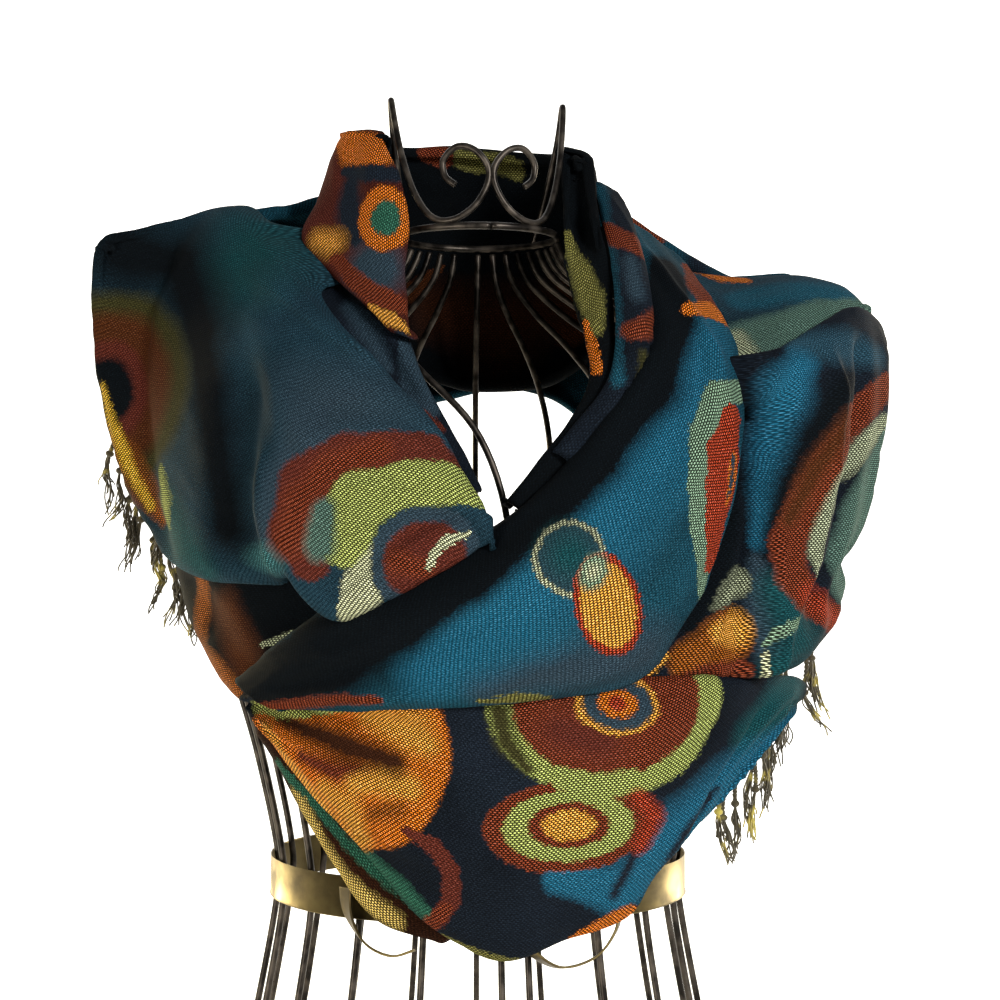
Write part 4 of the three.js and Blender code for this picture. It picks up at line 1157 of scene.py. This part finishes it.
def seen_points(rows):
    """Where a stretch's points show in the picture, with how far back each of them lies."""
    seen = []
    for row in rows[::2]:
        for point in row[::2]:
            pixel = PICTURE["pixel"] * (1 + point.y / PICTURE["far"])
            column = PICTURE["middle"] + (point.x - PICTURE["x"]) / pixel
            line = PICTURE["middle"] + (PICTURE["z"] - point.z) / pixel
            seen.append((column, line, point.y))
    return seen


def on_cloth(seen, column, line):
    """The cloth's point under a pixel of the picture, and a pixel's size there."""
    gaps = [(column - a) ** 2 + (line - b) ** 2 for a, b, _ in seen]
    reach = min(gaps) + PICTURE["near"] ** 2
    y = min(point[2] for gap, point in zip(gaps, seen) if gap <= reach)
    pixel = PICTURE["pixel"] * (1 + y / PICTURE["far"])
    x = PICTURE["x"] + (column - PICTURE["middle"]) * pixel
    z = PICTURE["z"] - (line - PICTURE["middle"]) * pixel
    return Vector((x, y, z)), pixel


def placed_motif(motif, seen):
    """A motif of the picture in millimetres, on the cloth."""
    placed = dict(motif)
    if "path" in motif:
        placed["path"] = []
        for column, line, half in motif["path"]:
            point, pixel = on_cloth(seen, column, line)
            placed["path"].append((*point, half * pixel))
    else:
        point, pixel = on_cloth(seen, *motif["at"])
        wide, tall = (half * pixel for half in motif["size"])
        placed.update(at=point, size=(wide, motif.get("deep", 1.5 * math.sqrt(wide * tall)), tall))
    return placed


def oval_group():
    """Distance from a motif's centre, as a share of its half sizes."""
    if "ring_distance" in bpy.data.node_groups:
        return bpy.data.node_groups["ring_distance"]
    inputs = {"Place": "Vector", "Centre": "Vector", "Size": "Vector", "Turn": "Float"}
    tree, source, target = new_group("ring_distance", inputs, {"Distance": "Float"})
    offset = vector_of(tree, "SUBTRACT", source["Place"], source["Centre"])
    inputs = {"Vector": offset, "Axis": (0, 1, 0), "Angle": source["Turn"]}
    turned = add_node(tree, "ShaderNodeVectorRotate", inputs, rotation_type="AXIS_ANGLE").outputs[0]
    scaled = vector_of(tree, "DIVIDE", turned, source["Size"])
    tree.links.new(vector_of(tree, "LENGTH", scaled), target["Distance"])
    return tree


def stroke_group():
    """Distance from a straight part of a stroke, as a share of its half width there."""
    if "stroke_distance" in bpy.data.node_groups:
        return bpy.data.node_groups["stroke_distance"]
    inputs = {"Place": "Vector", "Start": "Vector", "Way": "Vector"}
    inputs.update({"Reach": "Float", "Wide": "Float", "Widen": "Float"})
    tree, source, target = new_group("stroke_distance", inputs, {"Distance": "Float"})
    offset = vector_of(tree, "SUBTRACT", source["Place"], source["Start"])
    along = vector_of(tree, "DOT_PRODUCT", offset, source["Way"])
    share = number_of(tree, "MULTIPLY", along, source["Reach"], clamp=True)
    beside = vector_of(tree, "SUBTRACT", offset, vector_of(tree, "SCALE", source["Way"], scale=share))
    width = number_of(tree, "MULTIPLY_ADD", share, source["Widen"], source["Wide"])
    distance = number_of(tree, "DIVIDE", vector_of(tree, "LENGTH", beside), width)
    tree.links.new(distance, target["Distance"])
    return tree


def oval_distance(tree, place, motif):
    """The distance from an oval motif's centre."""
    inputs = {
        "Place": place,
        "Centre": to_frame(Vector(motif["at"])),
        "Size": Vector(motif["size"]) * MM,
        "Turn": math.radians(motif["turn"]),
    }
    return add_node(tree, "ShaderNodeGroup", inputs, node_tree=oval_group()).outputs["Distance"]


def stroke_distance(tree, place, motif):
    """The distance from a stroke's path, rounded where its parts meet."""
    flatten = Vector((1, motif.get("deep", STROKE_DEPTH), 1))
    flat = vector_of(tree, "MULTIPLY", place, flatten)
    nearest = None
    for (*start, wide), (*end, wide_end) in zip(motif["path"], motif["path"][1:]):
        a, b = to_frame(Vector(start)) * flatten, to_frame(Vector(end)) * flatten
        inputs = {
            "Place": flat,
            "Start": a,
            "Way": b - a,
            "Reach": 1 / (b - a).length_squared,
            "Wide": wide * MM,
            "Widen": (wide_end - wide) * MM,
        }
        distance = add_node(tree, "ShaderNodeGroup", inputs, node_tree=stroke_group()).outputs["Distance"]
        nearest = number_of(tree, "SMOOTH_MIN", nearest, distance, 0.3) if nearest else distance
    return nearest


def weave_group():
    """Yarns of a broken twill: bright ones show as dashes with dark gaps, dark ones as a speckle."""
    if "weave" in bpy.data.node_groups:
        return bpy.data.node_groups["weave"]
    inputs = {"Cloth": "Vector", "Colour": "Color", "Pitch": "Float"}
    tree, source, target = new_group("weave", inputs, {"Color": "Color", "Height": "Float"})
    split = add_node(tree, "ShaderNodeSeparateXYZ", {0: source["Cloth"]}).outputs
    u = number_of(tree, "DIVIDE", split["X"], source["Pitch"])
    v = number_of(tree, "DIVIDE", split["Y"], source["Pitch"])
    row = number_of(tree, "FLOOR", v)
    shifted = number_of(tree, "MULTIPLY_ADD", row, 0.5, number_of(tree, "MULTIPLY", u, WEAVE["stretch"]))
    bands = []
    for place, half in ((shifted, WEAVE["dash"]), (v, WEAVE["thread"])):
        off = number_of(tree, "SUBTRACT", number_of(tree, "FRACT", place), 0.5)
        room = number_of(tree, "SUBTRACT", half, number_of(tree, "ABSOLUTE", off))
        bands.append(number_of(tree, "MULTIPLY", room, WEAVE["edge"], clamp=True))
    mask = number_of(tree, "MULTIPLY", *bands)
    rgb = add_node(tree, "ShaderNodeSeparateColor", {0: source["Colour"]}).outputs
    bright = number_of(tree, "MAXIMUM", rgb[0], rgb[1])
    contrast = number_of(tree, "MULTIPLY_ADD", bright, 1.5, 0.6, clamp=True)
    gap = number_of(tree, "MULTIPLY", number_of(tree, "SUBTRACT", 1.0, mask), contrast)
    fleck = noise_of(tree, source["Cloth"], 800.0, 2.0)
    speckle = number_of(tree, "MAXIMUM", number_of(tree, "MULTIPLY_ADD", fleck, 3.4, -0.5), 0.3)
    flecked = vector_of(tree, "SCALE", source["Colour"], scale=speckle)
    body = number_of(tree, "MAXIMUM", bright, rgb[2])
    pale = number_of(tree, "MULTIPLY", number_of(tree, "SUBTRACT", fleck, 0.5), 4.0, clamp=True)
    pale = number_of(tree, "MULTIPLY", number_of(tree, "MULTIPLY", pale, body), WEAVE["pale"])
    flecked = vector_of(tree, "ADD", flecked, pale)
    dark = vector_of(tree, "SCALE", source["Colour"], scale=WEAVE["gap"])
    tree.links.new(mix_colours(tree, gap, flecked, dark), target["Color"])
    tree.links.new(mask, target["Height"])
    return tree


def metal_wear_group():
    """Patches of wear and dust on metal, as a mask from 0 to 1."""
    if "metal_wear" in bpy.data.node_groups:
        return bpy.data.node_groups["metal_wear"]
    inputs = {"Place": "Vector", "Scale": "Float"}
    tree, source, target = new_group("metal_wear", inputs, {"Wear": "Float"})
    cloud = noise_of(tree, source["Place"], source["Scale"], 5.0)
    wear = number_of(tree, "MULTIPLY", number_of(tree, "SUBTRACT", cloud, 0.42), 4.0, clamp=True)
    tree.links.new(wear, target["Wear"])
    return tree


def ring_ramp(tree, distance, motif):
    """The colours of a motif's rings by distance, with alpha 0 where the cloth's own colour shows."""
    scale = 0.5
    ramp = add_node(tree, "ShaderNodeValToRGB", {"Fac": number_of(tree, "MULTIPLY", distance, scale)})
    elements = ramp.color_ramp.elements
    half = motif["soft"] / 2
    outside = "clear"
    for share, name in motif["rings"]:
        for at, inner in ((share + half, False), (share - half, True)):
            shown, other = (name, outside) if inner else (outside, name)
            clear = shown == "clear"
            element = elements.new(at * scale)
            element.color = (*YARN[other if clear else shown], 0.0 if clear else 1.0)
        outside = name
    elements.remove(elements[0])
    elements.remove(elements[len(elements) - 1])
    return ramp.outputs


def new_material(name, roughness):
    """A material with nodes, its tree, its shader's inputs and a place on the piece."""
    material = bpy.data.materials.new(name)
    material.use_nodes = True
    tree = material.node_tree
    shader = tree.nodes["Principled BSDF"].inputs
    shader["Roughness"].default_value = roughness
    return material, tree, shader, add_node(tree, "ShaderNodeTexCoord").outputs["Object"]


def cloth_material(name, rows):
    """Woven cloth with the motifs that lie on one stretch, some of which are painted shade and painted
    highlight.
    """
    settings = bpy.context.scene.shawl_settings
    material, tree, shader, place = new_material(f"cloth_{name}", 0.9)
    shader["Specular IOR Level"].default_value = 0.06
    drift = centred(tree, noise_of(tree, place, 22.0, 2.0, "Color"), 0.009)
    place = vector_of(tree, "ADD", place, drift)
    thread = settings.thread
    cloth = add_node(tree, "ShaderNodeUVMap", uv_map="cloth").outputs[0]
    yarn = vector_of(tree, "SNAP", cloth, (2 * thread, thread, 1))
    stray = add_node(tree, "ShaderNodeTexWhiteNoise", {"Vector": yarn}).outputs["Color"]
    place = vector_of(tree, "ADD", place, centred(tree, stray, 0.002))
    dye = number_of(tree, "MULTIPLY_ADD", noise_of(tree, cloth, 14.0, 3.0), 2.6, -0.9, clamp=True)
    first = YARN[GROUNDS[name]] if name in GROUNDS else tuple(settings.ground)
    colour = mix_colours(tree, dye, (*(0.4 * c for c in first), 1.0), (*first, 1.0))
    seen = seen_points(rows)
    motifs = [placed_motif(motif, seen) for motif in MOTIFS.get(name, [])] + BACK_MOTIFS.get(name, [])
    for motif in motifs:
        measure = stroke_distance if "path" in motif else oval_distance
        ramp = ring_ramp(tree, measure(tree, place, motif), motif)
        colour = mix_colours(tree, ramp["Alpha"], colour, ramp["Color"])
    inputs = {"Cloth": cloth, "Colour": colour, "Pitch": thread}
    weave = add_node(tree, "ShaderNodeGroup", inputs, node_tree=weave_group()).outputs
    tree.links.new(weave["Color"], shader["Base Color"])
    inputs = {"Height": weave["Height"], "Strength": settings.relief, "Distance": 0.0004}
    tree.links.new(add_node(tree, "ShaderNodeBump", inputs).outputs["Normal"], shader["Normal"])
    return material


def metal_material(name, colour, worn, roughness, scale):
    """A metal whose colour and gloss change with wear."""
    material, tree, shader, place = new_material(name, roughness)
    inputs = {"Place": place, "Scale": scale}
    wear = add_node(tree, "ShaderNodeGroup", inputs, node_tree=metal_wear_group()).outputs["Wear"]
    tree.links.new(mix_colours(tree, wear, (*colour, 1.0), (*worn, 1.0)), shader["Base Color"])
    tree.links.new(number_of(tree, "MULTIPLY_ADD", wear, 0.22, roughness), shader["Roughness"])
    shader["Metallic"].default_value = 0.9
    return material


# Cloth pieces

COVER_TREES = {}


def base_grid(stretch):
    """The surface of a stretch with its rolled ends, and its cloth coordinates."""
    along = max(60, int(stretch["long"] / GRID_STEP))
    across = max(28, int(stretch["wide"] / GRID_STEP))
    rows = round_ends(cloth_rows(stretch, along, across), stretch.get("round", 0.0))
    rows = roll_ends(stretch, rows)
    return rows, cloth_map(rows)


def make_cloth(name, seed):
    """One stretch of the shawl as a thin soft shell, tucked under the stretches that lie over it."""
    settings = bpy.context.scene.shawl_settings
    stretch = STRETCHES[name]
    rows, coordinates = base_grid(stretch)
    ripple(rows, coordinates, stretch, settings.ripple / MM, seed)
    tuck_under(rows, [COVER_TREES[cover] for cover in stretch.get("behind", [])], TUCK)
    mesh = mesh_from_grid(f"cloth_{name}", rows, coordinates)
    piece = add_object(f"cloth_{name}", mesh)
    faces = [tuple(face.vertices) for face in mesh.polygons]
    COVER_TREES[name] = BVHTree.FromPolygons([p for row in rows for p in row], faces)
    give_thickness(piece, settings.thickness)
    finish_piece(piece, cloth_material(name, rows), "cloth", name)


# Fringe pieces


def twisted_cord(points, spread, radius, turns, phase, shuffle):
    """Two plies that wind round a path."""
    frames = tube_rows(points, spread, 4)
    last = len(points) - 1
    plies = []
    for ply in (0, math.pi):
        path = []
        for i, ring in enumerate(frames):
            angle = ply + phase + 2 * math.pi * turns * i / last
            a, b = ring[0] - points[i], ring[1] - points[i]
            path.append(points[i] + a * math.cos(angle) + b * math.sin(angle))
        plies.append(tube_rows(path, radius * shuffle.uniform(0.9, 1.1), 6))
    return plies


def knot_radius(share):
    """The radius of a knot, which is fullest at its middle."""
    return TASSEL["end"] + TASSEL["swell"] * math.sin(math.pi * share) ** 0.6


def tassel(root, long, outward, chance):
    """Tubes of one tassel: a wavy cord of two plies, its knot and a frayed tuft."""
    lean = Vector((outward + chance.uniform(-0.10, 0.10), chance.uniform(-0.08, 0.08), 0))
    wave = Vector((chance.uniform(-7, 7), chance.uniform(-4, 4), 0))
    beat = chance.uniform(1.6, 4.0)
    phase = chance.uniform(0, 6.28)
    knot_at = chance.uniform(0.42, 0.66)

    def centre(share):
        bend = math.sin(phase + share * beat * math.pi) - math.sin(phase)
        return root + lean * long * share + wave * bend * share + Vector((0, 0, -long * share))

    steps = 44
    cord = [centre(knot_at * i / steps) for i in range(steps + 1)]
    tubes = twisted_cord(cord, TASSEL["plies"], TASSEL["ply"], long / TASSEL["twist"], phase, chance)
    knot = [centre(knot_at + TASSEL["knot"] * (i / 10 - 0.4)) for i in range(11)]
    tubes.append(tube_rows(knot, knot_radius, 10))
    for _ in range(TASSEL["hairs"]):
        spread = Vector((chance.uniform(-1, 1), chance.uniform(-1, 1), 0)) * chance.uniform(1.0, 4.5)
        curl = chance.uniform(0.8, 3.2)
        start = chance.uniform(0, 6.28)
        end = knot_at + (1 - knot_at) * chance.uniform(0.45, 1.0)
        hair = []
        for i in range(15):
            share = i / 14
            swing = Vector((math.sin(start + share * 7), math.cos(start + share * 6), 0)) * curl * share
            hair.append(centre(knot_at + (end - knot_at) * share) + spread * share ** 0.7 + swing)
        tubes.append(tube_rows(hair, TASSEL["hair"], 4))
    return tubes


def make_fringe(fringe):
    """The tassels along one hem, with the thin strip that binds them."""
    settings = bpy.context.scene.shawl_settings
    chance = random.Random(fringe["seed"])
    tubes = []
    hem = [read_column(fringe["rows"], "hem", i / 40) for i in range(41)]
    for height in HEM["heights"]:
        tubes.append(tube_rows([point + Vector((0, 0, height)) for point in hem], HEM["radius"], 6))
    for number in range(fringe["count"]):
        at = (number + chance.uniform(0.3, 0.7)) / fringe["count"]
        root = read_column(fringe["rows"], "hem", at)
        outward = read_column(fringe["rows"], "outward", at)
        long = settings.tassel_length / MM * chance.uniform(0.86, 1.0)
        tubes += tassel(root, long, outward, chance)
    name = fringe["name"] + "_tassels"
    finish_piece(add_object(name, join_tubes(name, tubes)), fringe_material(), "fringe", fringe["name"])


def fringe_material():
    """Yarn whose shade changes from one tassel to the next."""
    if "fringe_yarn" in bpy.data.materials:
        return bpy.data.materials["fringe_yarn"]
    settings = bpy.context.scene.shawl_settings
    material, tree, shader, place = new_material("fringe_yarn", 0.85)
    dark = number_of(tree, "MULTIPLY_ADD", noise_of(tree, place, 55.0, 2.0), 8.0, -4.2, clamp=True)
    main = (*settings.tassel_colour, 1.0)
    tree.links.new(mix_colours(tree, dark, (*settings.tassel_shade, 1.0), main), shader["Base Color"])
    shader["Sheen Weight"].default_value = 0.2
    return material


# Wire form pieces


def around(angle):
    return Vector((math.sin(angle + FORM_TURN), -math.cos(angle + FORM_TURN), 0))


def cage_path(wire, side, steps=90):
    points = []
    for i in range(steps + 1):
        at = i / steps
        x, y, z, turn = (read_column(CAGE, column, at) for column in ("x", "y", "z", "turn"))
        turn = min(max(turn, 0.0), 1.0)
        way = around(side * math.radians(wire["base"] + (wire["neck"] - wire["base"]) * turn))
        points.append(Vector((x * way.x, y * way.y, z)))
    return points


def ellipse_rings(profile, x, y, segments=160):
    """Sections round an ellipse. profile lists how far in and how high each point of a section is."""
    rows = []
    for i in range(segments):
        angle = 2 * math.pi * i / segments
        way = Vector((math.cos(angle), math.sin(angle), 1))
        rows.append([Vector((x - inset, y - inset, z)) * way for inset, z in profile])
    return rows


def rounded_section(wide, tall, low, radius, steps=4):
    """A rounded oblong section, from its outer face inwards."""
    points = []
    corners = [(radius, radius, 180), (radius, tall - radius, 90), (wide - radius, tall - radius, 0)]
    corners.append((wide - radius, radius, 270))
    for x, z, start in corners:
        for k in range(steps + 1):
            angle = math.radians(start - 90 * k / steps)
            points.append((x + radius * math.cos(angle), low + z + radius * math.sin(angle)))
    return points


def ribbon_rows(loop, half_width, steps=60):
    """Cross lines of a ribbon that leans flatter as it leaves the knot."""
    rows = []
    for i in range(steps + 1):
        last, middle, ahead = (read_column(loop, "middle", (i + k) / steps) for k in (-1, 0, 1))
        way = (ahead - last).normalized()
        lean = 0.85 - 0.6 * smooth_step(2 * i / steps)
        across = Vector((-way.z * lean, -1, way.x * lean)).normalized() * half_width
        rows.append([middle + across * (1 - k / 4) for k in range(9)])
    return rows


class SHAWL_OT_stage(bpy.types.Operator):
    """Build the pale backdrop, its lights and the camera"""

    bl_idname = "shawl.stage"
    bl_label = "Stage"

    def execute(self, context):
        settings = context.scene.stage_settings
        build_camera(context.scene)
        build_world(context.scene)
        build_backdrop(settings)
        build_lights(settings)
        context.scene.view_settings.view_transform = "Standard"
        return {"FINISHED"}


def build_camera(scene):
    camera = bpy.data.objects.new("camera", bpy.data.cameras.new("camera"))
    scene.collection.objects.link(camera)
    camera.data.sensor_width = CAMERA["sensor"]
    camera.data.lens = CAMERA["lens"]
    camera.data.clip_end = 20.0
    camera.location = CAMERA["place"]
    camera.rotation_euler = (math.radians(90), 0, 0)
    scene.camera = camera


def build_world(scene):
    world = bpy.data.worlds.new("world")
    world.use_nodes = True
    tree = world.node_tree
    seen = add_node(tree, "ShaderNodeLightPath").outputs["Is Camera Ray"]
    background = tree.nodes["Background"].inputs
    background["Color"].default_value = (1.0, 1.0, 1.0, 1.0)
    tree.links.new(number_of(tree, "MULTIPLY_ADD", seen, WORLD_SEEN, WORLD_LIGHT), background["Strength"])
    scene.world = world


def build_backdrop(settings):
    """A floor that curves up into a backdrop, in metres."""
    width, front, foot, bend, top = 8.0, -3.0, 1.4, 0.8, 4.5
    curve = [math.pi / 2 * k / 16 for k in range(17)]
    path = [(foot + bend * math.sin(angle), bend - bend * math.cos(angle)) for angle in curve]
    path = [(front, 0.0), *path, (foot + bend, top)]
    rows = []
    for i in range(41):
        x = width * (i / 40 - 0.5)
        rows.append([Vector((x, y, z)) / MM + ORIGIN for y, z in path])
    piece = add_object("backdrop", mesh_from_grid("backdrop", rows))
    piece.data.materials.append(backdrop_material(settings))


def backdrop_material(settings):
    """Pale paper that glows by itself behind the form, a painted glow that fades out towards the front and
    also lights the form from behind.
    """
    material, tree, shader, place = new_material("backdrop", 0.9)
    split = add_node(tree, "ShaderNodeSeparateXYZ", {0: place}).outputs
    behind = number_of(tree, "MULTIPLY_ADD", split["Y"], 2.0, -0.3, clamp=True)
    glow = mix_colours(tree, behind, (0.0, 0.0, 0.0, 1.0), (*settings.backdrop, 1.0))
    tree.links.new(glow, shader["Emission Color"])
    shader["Emission Strength"].default_value = 1.0
    shader["Base Color"].default_value = (*settings.backdrop, 1.0)
    return material


def build_lights(settings):
    for name, (place, target, size, share, colour) in LIGHTS.items():
        data = bpy.data.lights.new(name, "AREA")
        data.shape = "DISK"
        data.size = size
        data.energy = settings.key_power * share
        data.color = colour
        lamp = add_object(name, data)
        lamp.location = place
        lamp.rotation_euler = (Vector(target) - Vector(place)).to_track_quat("-Z", "Y").to_euler()


class SHAWL_OT_front_wraps(bpy.types.Operator):
    """Build the stretches that wrap round the front and the shoulders"""

    bl_idname = "shawl.front_wraps"
    bl_label = "Front wraps"

    def execute(self, context):
        names = ["neck_fold_left", "shoulder_flap_left", "diagonal_band", "front_point"]
        names += ["shoulder_flap_right", "shoulder_top_right"]
        for seed, name in enumerate(names, 1):
            make_cloth(name, seed)
        return {"FINISHED"}


class SHAWL_OT_neck_folds(bpy.types.Operator):
    """Build the pleats and tucks inside the neck and the small stretches under the wraps"""

    bl_idname = "shawl.neck_folds"
    bl_label = "Neck folds"

    def execute(self, context):
        names = ["neck_pleat_outer", "neck_pleat_inner", "neck_tuck_left", "pocket_left"]
        names += ["collar_back", "under_layer_left"]
        for seed, name in enumerate(names, 7):
            make_cloth(name, seed)
        return {"FINISHED"}


class SHAWL_OT_fringe(bpy.types.Operator):
    """Build the twisted and knotted fringe of both ends"""

    bl_idname = "shawl.fringe"
    bl_label = "Fringe"

    def execute(self, context):
        for fringe in FRINGES:
            make_fringe(fringe)
        return {"FINISHED"}


class SHAWL_OT_back_wraps(bpy.types.Operator):
    """Build the stretches that pass round the back and the tail on the right"""

    bl_idname = "shawl.back_wraps"
    bl_label = "Back wraps"

    def execute(self, context):
        make_cloth("back_left", 13.0)
        make_cloth("back_right", 14.0)
        make_cloth("tail_right", 15.0)
        return {"FINISHED"}


class SHAWL_OT_wires(bpy.types.Operator):
    """Build the wires of the dress form's cage"""

    bl_idname = "shawl.wires"
    bl_label = "Cage wires"

    def execute(self, context):
        settings = context.scene.form_settings
        iron = metal_material("painted_iron", settings.iron, settings.worn_iron, 0.34, 90.0)
        tubes = []
        nodes = []
        for number, wire in enumerate(WIRES, 1):
            for side, word in ((-1, "left"), (1, "right")):
                tubes.append(tube_rows(cage_path(wire, side), settings.wire / MM, 10))
                nodes.append(f"wire_{word}_{number}")
        finish_piece(add_object("wire_form", join_tubes("wire_form", tubes)), iron, "wire", *nodes)
        return {"FINISHED"}


class SHAWL_OT_neck_scrolls(bpy.types.Operator):
    """Build the neck ring and its scrolls"""

    bl_idname = "shawl.neck_scrolls"
    bl_label = "Neck scrolls"

    def execute(self, context):
        settings = context.scene.form_settings
        iron = bpy.data.materials["painted_iron"]
        ring = [around(2 * math.pi * i / 96) * NECK_R + Vector((0, 0, NECK_Z)) for i in range(97)]
        tubes = [tube_rows(ring, settings.ring / MM, 12)]
        for side in (-1, 1):
            points = []
            for i in range(181):
                arc, z, lean = (read_column(SCROLL, column, i / 180) for column in ("arc", "z", "lean"))
                points.append(around(side * arc / NECK_R) * (NECK_R + lean) + Vector((0, 0, z)))
            tubes.append(tube_rows(points, settings.scroll / MM, 10))
        scrolls = add_object("neck_scrolls", join_tubes("neck_scrolls", tubes))
        finish_piece(scrolls, iron, "wire", "neck_top")
        return {"FINISHED"}


class SHAWL_OT_waist_band(bpy.types.Operator):
    """Build the brass waist band, its bow and the base ring"""

    bl_idname = "shawl.waist_band"
    bl_label = "Waist band, bow and base"

    def execute(self, context):
        settings = context.scene.form_settings
        brass = metal_material("brass", settings.brass, settings.dull_brass, 0.3, 35.0)
        bow_brass = metal_material("bow_brass", settings.dull_brass, settings.brass, 0.4, 40.0)
        profile = rounded_section(BAND["wall"], BAND["tall"], BAND["low"], 0.6)
        band = add_object("band", ring_mesh("band", ellipse_rings(profile, BAND["x"], BAND["y"])))
        finish_piece(band, brass, "brass", "waist_band")
        for name, loop in BOW.items():
            ribbon = mesh_from_grid(name, ribbon_rows(loop, settings.ribbon / MM / 2))
            piece = add_object(name + "_ribbon", ribbon)
            give_thickness(piece, RIBBON_THICKNESS)
            finish_piece(piece, bow_brass, "brass", name)
        profile = rounded_section(BASE["wide"], BASE["tall"], 0, 1.6)
        base = add_object("base", ring_mesh("base", ellipse_rings(profile, BASE["x"], BASE["y"])))
        finish_piece(base, bpy.data.materials["painted_iron"], "wire", "base_ring")
        return {"FINISHED"}


class SHAWL_PT_panel(bpy.types.Panel):
    """Lists the pieces of the shawl and its form"""

    bl_idname = "SHAWL_PT_panel"
    bl_label = "Wrapped shawl"
    bl_space_type = "VIEW_3D"
    bl_region_type = "UI"
    bl_category = "Shawl"

    def draw(self, context):
        layout = self.layout
        scene = context.scene
        for group in (scene.shawl_settings, scene.form_settings, scene.stage_settings):
            box = layout.box()
            for name in group.bl_rna.properties.keys():
                if name not in ("rna_type", "name"):
                    box.prop(group, name)
        for operator in OPERATORS:
            layout.operator(operator.bl_idname)


OPERATORS = (
    SHAWL_OT_stage,
    SHAWL_OT_wires,
    SHAWL_OT_neck_scrolls,
    SHAWL_OT_front_wraps,
    SHAWL_OT_neck_folds,
    SHAWL_OT_fringe,
    SHAWL_OT_back_wraps,
    SHAWL_OT_waist_band,
)
CLASSES = (ShawlSettings, FormSettings, StageSettings, *OPERATORS, SHAWL_PT_panel)


def register():
    for item in CLASSES:
        bpy.utils.register_class(item)
    bpy.types.Scene.shawl_settings = bpy.props.PointerProperty(type=ShawlSettings)
    bpy.types.Scene.form_settings = bpy.props.PointerProperty(type=FormSettings)
    bpy.types.Scene.stage_settings = bpy.props.PointerProperty(type=StageSettings)


def unregister():
    del bpy.types.Scene.shawl_settings
    del bpy.types.Scene.form_settings
    del bpy.types.Scene.stage_settings
    for item in reversed(CLASSES):
        bpy.utils.unregister_class(item)


def main():
    register()
    bpy.ops.shawl.stage()
    bpy.ops.shawl.wires()
    bpy.ops.shawl.neck_scrolls()
    bpy.ops.shawl.front_wraps()
    bpy.ops.shawl.neck_folds()
    bpy.ops.shawl.fringe()
    bpy.ops.shawl.back_wraps()
    bpy.ops.shawl.waist_band()
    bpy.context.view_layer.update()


if __name__ == "__main__":
    main()
